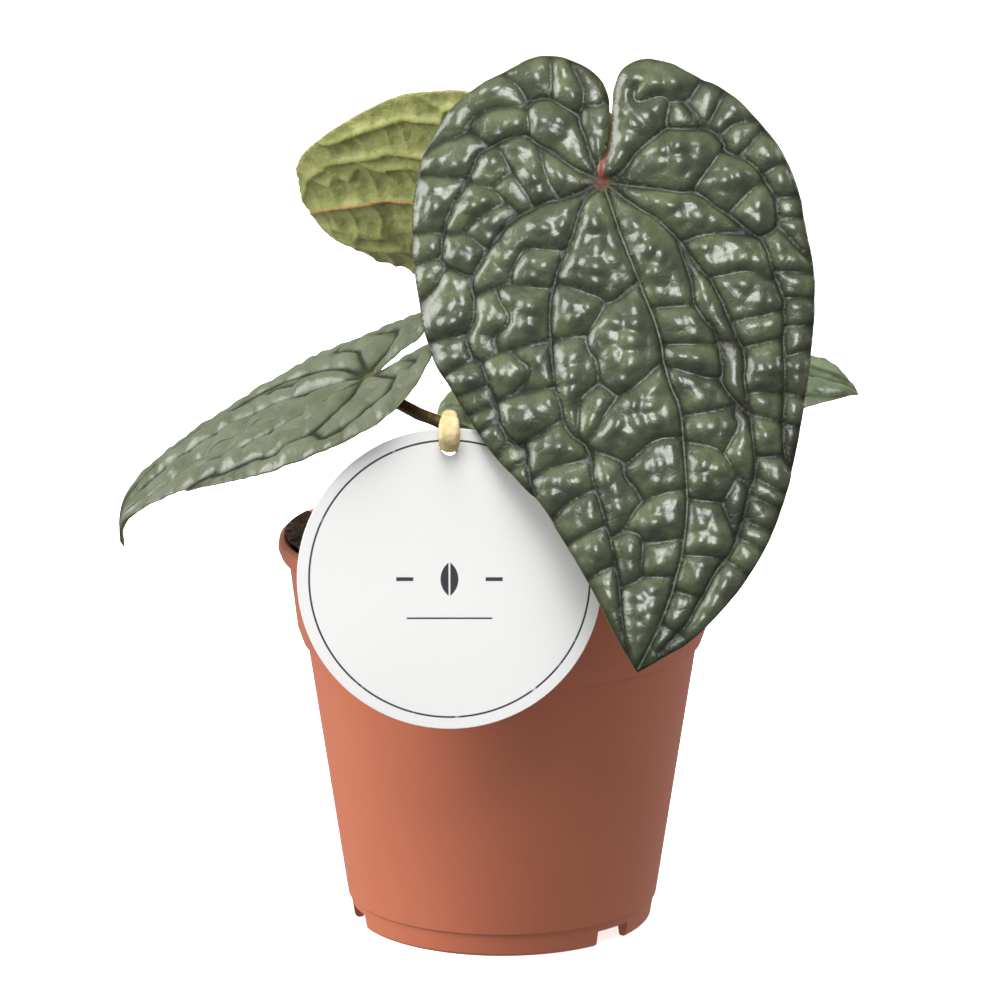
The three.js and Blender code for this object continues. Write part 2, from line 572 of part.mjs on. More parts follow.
function tagGeometry() {
  const radius = TAG_DIAMETER / 2;
  const outline = new THREE.Shape().absarc(0, 0, radius, 0, 2 * Math.PI);
  outline.holes.push(new THREE.Path()
    .absarc(0, radius - TAG_HOLE_DROP, TAG_HOLE_RADIUS, 0, 2 * Math.PI, true));
  const cut = { depth: TAG_THICKNESS, bevelEnabled: false, curveSegments: 24 };
  return welded(new THREE.ExtrudeGeometry(outline, cut).translate(0, 0, -TAG_THICKNESS / 2));
}

// The tie: a flat loop through the tag's hole, over its top edge and round the left leaf's stalk.
function tieGeometry() {
  const [x, y, z] = TIE_CENTRE;
  const turns = 16;
  const points = [];
  for (let i = 0; i < turns; i += 1) {
    const angle = (i * 2 * Math.PI) / turns;
    points.push(new THREE.Vector3(x, y - TIE_REACH * Math.cos(angle), z + TIE_RISE * Math.sin(angle)));
  }
  const curve = new THREE.CatmullRomCurve3(points, true);
  const shape = (u) => {
    const front = Math.max(0, Math.cos((u - 0.08) * 2 * Math.PI)) ** 0.7;
    return [TIE_THICKNESS / 2, (TIE_WIDTH_IN_HOLE + (TIE_WIDTH_FRONT - TIE_WIDTH_IN_HOLE) * front) / 2];
  };
  return tube(curve, 24, 8, shape, true);
}

// The plant

function piece(name, geometry, material) {
  geometry.computeVertexNormals();
  const mesh = new THREE.Mesh(geometry, material);
  mesh.name = name;
  return mesh;
}

const plant = new THREE.Group();
plant.position.set(...POT_AXIS, 0);
plant.add(piece('pot', potGeometry(), MATERIALS.pot));
plant.add(piece('soil', soilGeometry(), MATERIALS.soil));
plant.add(piece('crown', crownGeometry(), MATERIALS.crown));

const bladeFinish = { leaf_front: 'upper', leaf_back: 'olive', leaf_left: 'grey', leaf_right: 'grey' };
for (const leaf of LEAVES) {
  plant.add(piece(`${leaf.name}_blade`, blade(leaf), MATERIALS[bladeFinish[leaf.name]]));
  plant.add(piece(`${leaf.name}_stalk`, stalk(leaf), MATERIALS.stalk));
}

const tag = piece('hang_tag', tagGeometry(), MATERIALS.card);
tag.position.set(...TAG_CENTRE);
tag.rotation.x = (90 - TAG_LEAN) * DEG;
plant.add(tag);
plant.add(piece('tag_tie', tieGeometry(), MATERIALS.tie));

export default plant;
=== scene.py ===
"""Dresses the potted Anthurium luxurians: its quilted leaves and stalks, the nursery pot with its
soil and crown, and the round card tag on its tie.

Sizes are millimetres round the pot's axis, as the plant was drawn, and place() turns them into
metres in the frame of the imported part. Every finished object stays at the origin.
"""

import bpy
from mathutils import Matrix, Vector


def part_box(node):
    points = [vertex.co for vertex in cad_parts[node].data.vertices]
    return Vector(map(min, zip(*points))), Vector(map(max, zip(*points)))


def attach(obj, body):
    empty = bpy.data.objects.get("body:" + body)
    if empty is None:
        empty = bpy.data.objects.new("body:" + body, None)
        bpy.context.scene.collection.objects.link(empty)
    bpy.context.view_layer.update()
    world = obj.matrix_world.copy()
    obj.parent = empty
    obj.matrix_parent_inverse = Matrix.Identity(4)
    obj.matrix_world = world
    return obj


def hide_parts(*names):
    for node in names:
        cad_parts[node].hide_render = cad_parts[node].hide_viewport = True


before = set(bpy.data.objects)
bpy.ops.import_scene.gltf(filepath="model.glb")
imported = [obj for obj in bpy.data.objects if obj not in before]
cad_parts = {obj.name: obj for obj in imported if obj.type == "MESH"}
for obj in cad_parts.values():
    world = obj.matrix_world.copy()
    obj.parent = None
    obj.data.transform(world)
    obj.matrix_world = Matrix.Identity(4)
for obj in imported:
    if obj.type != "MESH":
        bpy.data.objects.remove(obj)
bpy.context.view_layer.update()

import logging
import math
from dataclasses import dataclass, field
from enum import Enum

import bpy
import numpy as np
from mathutils import Vector
from mathutils.geometry import delaunay_2d_cdt
from mathutils.kdtree import KDTree

LOG = logging.getLogger("potted_plant")
MM = 0.001
BODY = "root"


# Points and places

def pot_axis() -> np.ndarray:
    """Where the pot's axis meets the ground, in millimetres, from the middle of the pot's own box."""
    low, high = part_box("pot")
    middle = (low + high) / 2 / MM
    return np.array([middle.x, middle.y, 0.0])


AXIS = pot_axis()


def place(points: np.ndarray) -> np.ndarray:
    """Turns millimetres round the pot's axis into metres in the frame of the part.

    Args:
        points: an array of x, y, z rows.

    Returns:
        The same points in metres.
    """
    return (np.asarray(points, float) + AXIS) * MM


def through(points: np.ndarray, step: float, even: bool = True) -> np.ndarray:
    """A smooth Catmull-Rom curve through points, as evenly spaced rows.

    Args:
        points: the points that the curve passes, in order.
        step: the distance between the rows that come back.
        even: whether all spans count alike. Otherwise longer spans get more room, which keeps
            tight bends from looping.

    Returns:
        Rows along the curve, both ends included.
    """
    points = np.asarray(points, float)
    first, last = points[0], points[-1]
    if not even:
        first, last = 2 * points[0] - points[1], 2 * points[-1] - points[-2]
    padded = np.vstack([first, points, last])
    u = np.linspace(0, 1, 24, endpoint=False)[:, None]
    rows = []
    for p0, p1, p2, p3 in zip(padded, padded[1:], padded[2:], padded[3:]):
        if even:
            leave, arrive = (p2 - p0) / 2, (p3 - p1) / 2
        else:
            a, b, c = (math.sqrt(np.linalg.norm(q - p)) for p, q in ((p0, p1), (p1, p2), (p2, p3)))
            leave = ((p1 - p0) / a - (p2 - p0) / (a + b) + (p2 - p1) / b) * b
            arrive = ((p2 - p1) / b - (p3 - p1) / (b + c) + (p3 - p2) / c) * b
        rise = -2 * p1 + 2 * p2 - leave - arrive
        rows.append(p1 + u * leave + u**2 * (p2 - p1 - leave - rise) + u**3 * rise)
    dense = np.vstack([*rows, points[-1:]])
    length = np.concatenate([[0], np.cumsum(np.linalg.norm(np.diff(dense, axis=0), axis=1))])
    count = max(1, round(length[-1] / step))
    marks = np.linspace(0, length[-1], count + 1)
    return np.stack([np.interp(marks, length, column) for column in dense.T], axis=1)


def run_of(flat: list[float]) -> np.ndarray:
    """A drawn line, given as x, y, x, y, as rows of x, y."""
    return np.array(flat, float).reshape(-1, 2)


def waves(points: np.ndarray, size: float, seed: int, count: int = 14) -> np.ndarray:
    """A smooth random field, from about -1 to 1, made of crossing waves.

    Args:
        points: rows of x, y or x, y, z.
        size: the rough width of a bump, in the points' own unit.
        seed: picks the field.
        count: how many waves cross.

    Returns:
        One value for each row.
    """
    random = np.random.default_rng(seed)
    headings = random.normal(size=(count, points.shape[1]))
    headings /= np.linalg.norm(headings, axis=1)[:, None]
    pace = math.pi / size * random.uniform(0.6, 1.5, count)
    phase = random.uniform(0, 2 * math.pi, count)
    return np.sin(points @ (headings * pace[:, None]).T + phase).sum(axis=1) / math.sqrt(count) / 1.3


def circle(count: int) -> np.ndarray:
    """Points round a unit circle as rows of x, y, from +X."""
    angles = np.arange(count) * math.tau / count
    return np.column_stack([np.cos(angles), np.sin(angles)])


def ease(value: np.ndarray, low: float, high: float) -> np.ndarray:
    """Climbs smoothly from 0 at low to 1 at high."""
    t = np.clip((value - low) / (high - low), 0, 1)
    return t * t * (3 - 2 * t)


# Objects and nodes

def in_scene(name: str, data: bpy.types.ID) -> bpy.types.Object:
    """A new object at the origin, linked to the scene."""
    piece = bpy.data.objects.new(name, data)
    bpy.context.scene.collection.objects.link(piece)
    return piece


def mesh_object(name: str, points: np.ndarray, faces: list, smooth: bool = True) -> bpy.types.Object:
    """A mesh object at the origin.

    Args:
        name: the piece's name.
        points: rows of x, y, z in metres in the part's frame.
        faces: corner numbers of each face, in the order that makes it look outwards.
        smooth: whether its faces are shaded smooth.

    Returns:
        The new object.
    """
    mesh = bpy.data.meshes.new(name)
    mesh.from_pydata([tuple(p) for p in points], [], [tuple(int(i) for i in f) for f in faces])
    mesh.validate()
    mesh.polygons.foreach_set("use_smooth", [smooth] * len(mesh.polygons))
    return in_scene(name, mesh)


def keep_values(piece: bpy.types.Object, values: dict[str, np.ndarray]) -> None:
    """Stores named values on a mesh's points, numbers or rows of three, for its materials."""
    for name, value in values.items():
        kind, key = ("FLOAT", "value") if value.ndim == 1 else ("FLOAT_VECTOR", "vector")
        attribute = piece.data.attributes.new(name, kind, "POINT")
        attribute.data.foreach_set(key, value.astype(np.float32).ravel())


def path_object(name: str, points: np.ndarray, closed: bool = False) -> bpy.types.Object:
    """A bare path through points in metres, for a node tree to sweep or turn."""
    curve = bpy.data.curves.new(name, "CURVE")
    curve.dimensions = "3D"
    spline = curve.splines.new("POLY")
    spline.points.add(len(points) - 1)
    spline.points.foreach_set("co", np.column_stack([points, np.ones(len(points))]).ravel())
    spline.use_cyclic_u = closed
    return in_scene(name, curve)


def fill(tree: bpy.types.NodeTree, node: bpy.types.Node, inputs: dict) -> bpy.types.Node:
    """Fills a node's inputs.

    Args:
        tree: the tree that holds the node.
        node: the node.
        inputs: for each input, by its identifier or by its name with underscores for spaces, a
            value, an sRGB hex colour, a socket to link, or a node whose first live output is linked.

    Returns:
        The same node.
    """
    for key, value in inputs.items():
        live = [socket for socket in node.inputs if socket.enabled]
        named = [socket for socket in live if socket.identifier == key]
        target = (named or [socket for socket in live if socket.name == key.replace("_", " ")])[0]
        if isinstance(value, bpy.types.Node):
            value = next(socket for socket in value.outputs if socket.enabled)
        if isinstance(value, bpy.types.NodeSocket):
            tree.links.new(value, target)
        else:
            hex_code = isinstance(value, str) and value.startswith("#")
            target.default_value = colour(value) if hex_code else value
    return node


def add_node(tree: bpy.types.NodeTree, kind: str, **traits) -> bpy.types.Node:
    """Adds a node to a shader or geometry tree.

    Args:
        tree: the tree it joins.
        kind: Blender's name of the node, short of its family.
        **traits: the node's own properties, in lower case, and its inputs, capitalised, which are
            filled as fill() does.

    Returns:
        The new node.
    """
    families = ("ShaderNode", "GeometryNode", "FunctionNode", "Node")
    node = tree.nodes.new(next(name + kind for name in families if hasattr(bpy.types, name + kind)))
    for name, value in traits.items():
        if name[0].islower():
            setattr(node, name, value)
    return fill(tree, node, {name: value for name, value in traits.items() if name[0].isupper()})


def geometry_tree(name: str, sizes: dict) -> tuple[bpy.types.NodeTree, bpy.types.NodeOutputs]:
    """An empty geometry tree.

    Args:
        name: the tree's name.
        sizes: the value of each named input, past the geometry itself.

    Returns:
        The tree and its inputs, by name.
    """
    kinds = {int: "NodeSocketInt", float: "NodeSocketFloat", Vector: "NodeSocketVector"}
    tree = bpy.data.node_groups.new(name, "GeometryNodeTree")
    for way in ("INPUT", "OUTPUT"):
        tree.interface.new_socket("Geometry", in_out=way, socket_type="NodeSocketGeometry")
    for size, value in sizes.items():
        tree.interface.new_socket(size, in_out="INPUT", socket_type=kinds[type(value)])
    return tree, tree.nodes.new("NodeGroupInput").outputs


def roughened(tree: bpy.types.NodeTree, shape: bpy.types.Node, width: float, lift: float,
              detail: float) -> bpy.types.Node:
    """Pushes a shape's surface in and out by smooth noise, and shades it smooth.

    Args:
        tree: the geometry tree.
        shape: the node that gives the shape.
        width: how wide a bump is, in millimetres.
        lift: how far it goes in or out, in millimetres.
        detail: the noise's detail.

    Returns:
        The node that gives the finished shape.
    """
    noise = add_node(tree, "TexNoise", Vector=add_node(tree, "InputPosition"), Scale=per_metre(width),
                     Detail=detail)
    height = add_node(tree, "MapRange", Value=noise, To_Min=-lift * MM, To_Max=lift * MM)
    out = add_node(tree, "VectorMath", operation="SCALE", Vector=add_node(tree, "InputNormal"), Scale=height)
    rough = add_node(tree, "SetPosition", Geometry=shape, Offset=out)
    return add_node(tree, "SetShadeSmooth", Geometry=rough)


def grow(name: str, source: bpy.types.Object, tree: bpy.types.NodeTree, shape: bpy.types.Node,
         finish: bpy.types.Material, sizes: dict, crisp: float | None = None) -> bpy.types.Object:
    """Ends a geometry tree, runs it on a source and keeps its result as a plain mesh.

    Args:
        name: the finished piece's name.
        source: the path or mesh that the tree reads. It is removed afterwards.
        tree: the geometry tree.
        shape: its last node, whose instances become real and get their material.
        finish: the material.
        sizes: values for the tree's named inputs.
        crisp: edges sharper than this angle, in degrees, stay sharp in the shading.

    Returns:
        The finished piece, at the origin.
    """
    real = add_node(tree, "RealizeInstances", Geometry=shape)
    dressed = add_node(tree, "SetMaterial", Geometry=real, Material=finish)
    add_node(tree, "GroupOutput", Geometry=dressed)
    modifier = source.modifiers.new(tree.name, "NODES")
    modifier.node_group = tree
    for item in tree.interface.items_tree:
        if item.in_out == "INPUT" and item.name in sizes:
            modifier[item.identifier] = sizes[item.name]
    graph = bpy.context.evaluated_depsgraph_get()
    mesh = bpy.data.meshes.new_from_object(source.evaluated_get(graph), depsgraph=graph)
    mesh.name = name
    bpy.data.objects.remove(source)
    if crisp is not None:
        mesh.set_sharp_from_angle(angle=math.radians(crisp))
    return in_scene(name, mesh)


def settle(piece: bpy.types.Object, slot: str, *nodes: str) -> None:
    """Hands a finished piece to the frame.

    Args:
        piece: the finished object.
        slot: the material slot that its finish belongs to. Not used.
        *nodes: the CAD nodes that it stands for.
    """
    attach(piece, BODY)
    if nodes:
        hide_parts(*nodes)
    LOG.info("%s: %d faces", piece.name, len(piece.data.polygons))


# Finishes

def colour(code: str) -> tuple[float, float, float, float]:
    """An sRGB hex colour as linear red, green, blue and a full alpha."""
    parts = (int(code[i:i + 2], 16) / 255 for i in (1, 3, 5))
    return (*(p / 12.92 if p <= 0.04045 else ((p + 0.055) / 1.055) ** 2.4 for p in parts), 1.0)


def blank_material(name: str, **sockets) -> tuple[bpy.types.Material, bpy.types.NodeTree, bpy.types.Node]:
    """A material with one Principled shader.

    Args:
        name: the material's name.
        **sockets: values set on the shader itself, with underscores for spaces.

    Returns:
        The material, its tree and the shader.
    """
    material = bpy.data.materials.new(name)
    material.use_nodes = True
    tree = material.node_tree
    return material, tree, fill(tree, tree.nodes["Principled BSDF"], sockets)


def paint(tree: bpy.types.NodeTree, shader: bpy.types.Node, tint: str | bpy.types.Node,
          layers: list[tuple], relief: list[tuple[bpy.types.Node, float]]) -> None:
    """Gives a shader its colour, one layer over the other, and its relief.

    Args:
        tree: the material's tree.
        shader: the shader.
        tint: the lowest colour.
        layers: pairs of a mask and the colour that shows where it is 1.
        relief: pairs of a height and its depth in millimetres, each laid over the one before.
    """
    for mask, over in layers:
        tint = add_node(tree, "Mix", data_type="RGBA", Factor=mask, A=tint, B=over)
    lower = {}
    for height, depth in relief:
        bump = add_node(tree, "Bump", Strength=1.0, Distance=depth * MM, Height=height, **lower)
        lower = {"Normal": bump}
    fill(tree, shader, {"Base_Color": tint, **lower})


def per_metre(width: float) -> float:
    """The scale of a pattern on Object coordinates whose features are this many millimetres wide."""
    return 1 / (width * MM)


@dataclass(frozen=True)
class LeafSkin:
    """One face of a leaf: waxy cuticle over quilted green tissue, with its veins.

    It gives the eye domed cells with painted shade darkening their creases on the upper faces,
    a pale thread along each vein, and a gloss that fine wrinkles break up. Colours are sRGB hex,
    widths millimetres on the leaf.
    """

    name: str
    # the colour low in the creases: on the upper faces a dark painted shade, on the under faces the paler
    # tissue beside the veins
    crease_tint_and_shade: str
    pillow: str
    flush: str
    vein: str
    net: str
    throat: str               # the veins' colour where they leave the stalk
    stain: str                # the spot over the stalk joint
    margin: str
    roughness: float
    coat: float
    midrib: str = "#7f8c6c"
    midrib_strength: float = 0.6
    vein_width: float = 0.4
    vein_strength: float = 0.6
    net_width: float = 0.3
    net_strength: float = 0.3
    margin_width: float = 0.35
    throat_reach: float = 9.0
    wrinkle: float = 1.0
    wrinkle_depth: float = 0.05
    tile: float = 2.3         # the width of the finest cells between veinlets
    tile_depth: float = 0.06
    dimple_depth: float = 0.15
    speck: str = "#2a2a20"
    fleck: float = 0.0        # how dark the scattered specks are

    def material(self) -> bpy.types.Material:
        """Builds the leaf skin."""
        made, tree, shader = blank_material(self.name, IOR=1.45, Coat_Roughness=0.22, Coat_IOR=1.45)
        flat = add_node(tree, "Attribute", attribute_name="flat").outputs["Vector"]
        vein, net, rim, swell, midrib = (
            add_node(tree, "Attribute", attribute_name=name).outputs["Fac"]
            for name in ("vein", "net", "rim", "swell", "midrib"))
        faint, blotch, dull, dimples = (
            add_node(tree, "TexNoise", Vector=flat, Scale=1 / width, Detail=detail)
            for width, detail in ((6, 3.0), (11, 4.0), (2.6, 3.0), (3.4, 1.0)))
        wrinkles = add_node(tree, "TexNoise", Vector=flat, Scale=1 / self.wrinkle, Detail=5.0, Roughness=0.6,
                            Distortion=0.4)
        tiles = add_node(tree, "TexVoronoi", feature="DISTANCE_TO_EDGE", Vector=flat, Scale=1 / self.tile)
        specks = add_node(tree, "TexVoronoi", Vector=flat, Scale=1 / 4.0)
        reach = add_node(tree, "VectorMath", operation="LENGTH", Vector=flat)
        rib_width, throat = 1.3 * self.vein_width, self.throat_reach
        soft = {}
        for name, source, low, high, start, end in (
                ("vein", vein, 0.3 * self.vein_width, self.vein_width, self.vein_strength, 0.0),
                ("net", net, 0.3 * self.net_width, self.net_width, self.net_strength, 0.0),
                ("midrib", midrib, 0.3 * rib_width, rib_width, self.midrib_strength, 0.0),
                ("margin", rim, 0.3 * self.margin_width, self.margin_width, 1.0, 0.0),
                # raised is 0 low in the creases, where the crease colour lays painted shade on the upper
                # faces
                ("patch", blotch, 0.36, 0.64, 0.0, 1.0), ("raised", swell, 0.0, 0.4, 0.0, 1.0),
                ("vein throat", reach, 2.0, throat, 0.0, 1.0),
                ("rib throat", reach, 3.0, 1.6 * throat, 0.0, 1.0),
                ("spot", reach, 0.8, 2.6, 1.0, 0.0), ("tile", tiles, 0.0, 0.22, 0.0, 1.0)):
            soft[name] = add_node(tree, "MapRange", interpolation_type="SMOOTHSTEP", Value=source,
                                  From_Min=low, From_Max=high, To_Min=start, To_Max=end)
        even = {}
        for name, source, low, high, start, end in (
                ("faint", faint, 0.4, 0.6, 0.2, 1.0), ("specks", specks, 0.03, 0.07, self.fleck, 0.0),
                ("Roughness", dull, 0.3, 0.7, self.roughness - 0.05, self.roughness + 0.09),
                ("Coat_Weight", swell, 0.05, 0.4, 0.0, self.coat),
                ("Specular_IOR_Level", swell, 0.05, 0.4, 0.12, 0.5)):
            even[name] = add_node(tree, "MapRange", Value=source, From_Min=low, From_Max=high,
                                  To_Min=start, To_Max=end)
        tints = {}
        for name, mask, low, high in (
                ("tissue", "patch", self.pillow, self.flush), ("vein", "vein throat", self.throat, self.vein),
                ("midrib", "rib throat", self.throat, self.midrib)):
            tints[name] = add_node(tree, "Mix", data_type="RGBA", Factor=soft[mask], A=low, B=high)
        for name in ("vein", "net"):
            soft[name] = add_node(tree, "Math", operation="MULTIPLY", Value=soft[name],
                                  Value_001=even["faint"])
        # The lowest layer is the crease colour, which on the upper faces is painted shade in the creases.
        paint(tree, shader, self.crease_tint_and_shade, [
            (soft["raised"], tints["tissue"]), (soft["net"], self.net), (soft["vein"], tints["vein"]),
            (soft["midrib"], tints["midrib"]), (soft["spot"], self.stain), (soft["margin"], self.margin),
            (even["specks"], self.speck),
        ], [(wrinkles, self.wrinkle_depth), (soft["tile"], self.tile_depth), (dimples, self.dimple_depth)])
        fill(tree, shader, {key: even[key] for key in ("Roughness", "Coat_Weight", "Specular_IOR_Level")})
        return made


@dataclass(frozen=True)
class StalkSkin:
    """A fresh leaf stalk: smooth brown skin over green, with fine streaks along it.

    It gives the eye a dark satin rod that turns warmer towards the blade.
    """

    name: str = "petiole_skin"
    bark: str = "#3a2617"
    olive: str = "#5a4a22"
    blush: str = "#75362a"
    blush_reach: float = 26.0     # how far below the blade the blush runs
    streak: float = 0.9
    streak_depth: float = 0.05

    def material(self) -> bpy.types.Material:
        """Builds the stalk skin."""
        made, tree, shader = blank_material(self.name, IOR=1.45, Roughness=0.42, Coat_Weight=0.15)
        spot = add_node(tree, "TexCoord").outputs["Object"]
        stretch = add_node(tree, "Mapping", Vector=spot, Scale=(1.0, 1.0, 0.22))
        streaks = add_node(tree, "TexNoise", Vector=stretch, Scale=per_metre(self.streak), Detail=4.0,
                           Roughness=0.6)
        tone = add_node(tree, "MapRange", interpolation_type="SMOOTHSTEP", Value=streaks, From_Min=0.35,
                        From_Max=0.7)
        below = add_node(tree, "Attribute", attribute_name="below_blade").outputs["Fac"]
        warm = add_node(tree, "MapRange", interpolation_type="SMOOTHSTEP", Value=below, From_Min=0.0,
                        From_Max=self.blush_reach, To_Min=1.0, To_Max=0.0)
        paint(tree, shader, self.bark, [(tone, self.olive), (warm, self.blush)],
              [(streaks, self.streak_depth)])
        return made


@dataclass(frozen=True)
class PotPlastic:
    """Polypropylene, injection moulded in terracotta colour against a lightly blasted tool.

    It gives the eye an even satin that softens highlights, with a faint orange-peel grain and a
    slightly cloudy pigment.
    """

    name: str = "moulded_polypropylene"
    pigment: str = "#c77252"
    cloud: str = "#c06b4c"
    cloud_width: float = 22.0
    grain: float = 0.45           # finer on the real pot, drawn wide enough to show
    grain_depth: float = 0.012

    def material(self) -> bpy.types.Material:
        """Builds the pot's plastic."""
        made, tree, shader = blank_material(self.name, IOR=1.49)
        spot = add_node(tree, "TexCoord").outputs["Object"]
        haze, peel = (
            add_node(tree, "TexNoise", Vector=spot, Scale=per_metre(width), Detail=detail)
            for width, detail in ((self.cloud_width, 4.0), (self.grain, 3.0)))
        satin = add_node(tree, "MapRange", Value=peel, From_Min=0.3, From_Max=0.7, To_Min=0.44, To_Max=0.54)
        fill(tree, shader, {"Roughness": satin})
        paint(tree, shader, self.pigment, [(haze, self.cloud)], [(peel, self.grain_depth)])
        return made


@dataclass(frozen=True)
class Fibrous:
    """Dry or damp plant matter: peat, coconut fibre, papery sheaths or a raffia band.

    It gives the eye a matt, uneven surface in two tones with a fine fibre grain.
    """

    name: str
    dark: str
    light: str
    patch: float                  # width of a patch of one tone
    grain: float
    grain_depth: float
    roughness: float = 0.9
    stretch: tuple[float, float, float] = (1.0, 1.0, 1.0)

    def material(self) -> bpy.types.Material:
        """Builds the fibrous finish."""
        made, tree, shader = blank_material(self.name, IOR=1.45, Roughness=self.roughness)
        spot = add_node(tree, "TexCoord").outputs["Object"]
        drawn = add_node(tree, "Mapping", Vector=spot, Scale=self.stretch)
        patches, grain = (
            add_node(tree, "TexNoise", Vector=drawn, Scale=per_metre(width), Detail=detail, Roughness=rough)
            for width, detail, rough in ((self.patch, 5.0, 0.65), (self.grain, 4.0, 0.7)))
        tone = add_node(tree, "MapRange", interpolation_type="SMOOTHSTEP", Value=patches, From_Min=0.35,
                        From_Max=0.65)
        paint(tree, shader, self.dark, [(tone, self.light)], [(grain, self.grain_depth)])
        return made


@dataclass(frozen=True)
class PrintedCard:
    """Uncoated white card, die cut, with a thin printed ring and a plain leaf mark between dashes.

    It gives the eye a flat, bright, faintly fibrous sheet with crisp dark ink. The print is drawn
    by rule on the card's own millimetres, kept in the attribute card.
    """

    name: str = "uncoated_card"
    paper: str = "#ecebe8"
    ink: str = "#33343a"
    ink_edge: float = 0.06        # half the soft edge of printed ink
    ring_radius: float = 36.1
    ring_width: float = 0.5
    ring_wear: float = 3.0        # the size of the worn spots in the ring
    mark_height: float = 9.0
    mark_width: float = 4.6
    mark_rib: float = 0.44
    dash_place: float = 11.5
    dash_length: float = 4.4
    dash_width: float = 1.0
    rule_drop: float = 10.2
    rule_length: float = 22.0
    rule_width: float = 0.45
    pulp: float = 0.5
    pulp_depth: float = 0.01

    def material(self) -> bpy.types.Material:
        """Builds the card."""
        made, tree, shader = blank_material(self.name, IOR=1.5, Roughness=0.85)
        card = add_node(tree, "Attribute", attribute_name="card").outputs["Vector"]
        flat = add_node(tree, "VectorMath", operation="MULTIPLY", Vector=card, Vector_001=(1.0, 1.0, 0.0))
        fold = add_node(tree, "VectorMath", operation="ABSOLUTE", Vector=flat)
        across = add_node(tree, "SeparateXYZ", Vector=fold).outputs["X"]
        signed = add_node(tree, "SeparateXYZ", Vector=card)
        height, face = signed.outputs["Y"], signed.outputs["Z"]

        def band(value: bpy.types.NodeSocket, middle: float, width: float) -> bpy.types.Node:
            """1 within half the width of the middle, falling to 0 over the ink's soft edge."""
            off = add_node(tree, "Math", operation="SUBTRACT", Value=value, Value_001=middle)
            gap = add_node(tree, "Math", operation="ABSOLUTE", Value=off)
            return add_node(tree, "MapRange", Value=gap, From_Min=width / 2 - self.ink_edge,
                            From_Max=width / 2 + self.ink_edge, To_Min=1.0, To_Max=0.0)

        reach = add_node(tree, "VectorMath", operation="LENGTH", Vector=flat).outputs["Value"]
        worn = add_node(tree, "TexNoise", Vector=card, Scale=1 / self.ring_wear, Detail=3.0)
        kept = add_node(tree, "MapRange", Value=worn, From_Min=0.2, From_Max=0.36)
        bow = (self.mark_height**2 - self.mark_width**2) / (4 * self.mark_width)
        shift = add_node(tree, "VectorMath", Vector=fold, Vector_001=(bow, 0.0, 0.0))
        lens = add_node(tree, "VectorMath", operation="LENGTH", Vector=shift).outputs["Value"]
        rib = band(across, 0.0, self.mark_rib)
        clear = add_node(tree, "Math", operation="SUBTRACT", Value=1.0, Value_001=rib)
        front = add_node(tree, "MapRange", Value=face, From_Min=0.0, From_Max=0.1)
        inked = 0.0
        for mask, other in (
                (band(reach, self.ring_radius, self.ring_width), kept),
                (band(across, self.dash_place, self.dash_length), band(height, 0.0, self.dash_width)),
                (band(across, 0.0, self.rule_length), band(height, -self.rule_drop, self.rule_width)),
                (band(lens, 0.0, 2 * bow + self.mark_width), clear)):
            both = add_node(tree, "Math", operation="MULTIPLY", Value=mask, Value_001=other)
            inked = add_node(tree, "Math", operation="MAXIMUM", Value=inked, Value_001=both)
        inked = add_node(tree, "Math", operation="MULTIPLY", Value=inked, Value_001=front)
        pulp = add_node(tree, "TexNoise", Vector=card, Scale=1 / self.pulp, Detail=4.0)
        paint(tree, shader, self.paper, [(inked, self.ink)], [(pulp, self.pulp_depth)])
        return made


def kd_tree(marks: np.ndarray) -> KDTree:
    """A search tree over rows of x, y."""
    tree = KDTree(len(marks))
    for i, (x, y) in enumerate(marks):
        tree.insert((x, y, 0), i)
    tree.balance()
    return tree


def nearest(points: np.ndarray, marks: np.ndarray) -> np.ndarray:
    """The distance from each point to the nearest mark, both rows of x, y."""
    tree = kd_tree(marks)
    return np.array([tree.find((x, y, 0))[2] for x, y in points])


def filled(points: np.ndarray, edges: list[tuple[int, int]], rim: int,
           near: float) -> tuple[np.ndarray, np.ndarray]:
    """Fills a flat outline with triangles, counted anticlockwise.

    Args:
        points: rows of x, y, the outline's first.
        edges: pairs of points that a triangle's edge has to join.
        rim: how many points the outline has.
        near: points closer than this become one.

    Returns:
        The points as they are after that, and the triangles, some of them maybe outside.
    """
    found, _, faces, *_ = delaunay_2d_cdt(
        [Vector(p) for p in points], edges, [list(range(rim))], 1, near, False)
    flat = np.array([tuple(p) for p in found])
    faces = np.array([face for face in faces if len(face) == 3])
    a, b, c = (flat[faces[:, k]] for k in range(3))
    turn = (b[:, 0] - a[:, 0]) * (c[:, 1] - a[:, 1]) - (b[:, 1] - a[:, 1]) * (c[:, 0] - a[:, 0])
    faces[turn < 0] = faces[turn < 0][:, ::-1]
    return flat, faces


# The leaf, drawn flat from above: x across, y up from the stalk joint, tip down. Each line is a run
# of x, y pairs in millimetres on the largest leaf.

LEFT_EDGE = [
    0.2, 4.5, 0.9, 10, 1, 16, 0.6, 21, -1.3, 25.8, -5, 29.6, -11, 32.6, -16.5, 33.3, -22.4, 31, -30.2, 27,
    -37.2, 21.7, -42.3, 15.2, -46, 8, -48.2, -1, -49, -12, -48, -23.7, -46.2, -35.3, -44, -43.6, -39.7, -51.3,
    -35.1, -59.3, -29.4, -68, -23, -75.3, -17, -81.3, -12, -89, -7.2, -96.8, -2.6, -105, 1.5, -113.3,
    5.4, -120.5, 8.8, -126,
]
RIGHT_EDGE = [
    8.8, -126, 12.4, -124, 20, -119.7, 27.3, -113.3, 34.3, -105.5, 40.8, -95.5, 45.4, -85, 48.5, -74,
    50.8, -62.4, 53, -48.2, 54.4, -35.3, 54.6, -25, 53, -14.7, 51.3, -4.4, 48, 5.2, 42, 14.4, 35, 22,
    26.8, 26.8, 20, 30.7, 13.7, 32.4, 8.4, 30.8, 5.2, 26.5, 4, 21.5, 3.4, 16, 2.7, 10.5, 0.2, 4.5,
]
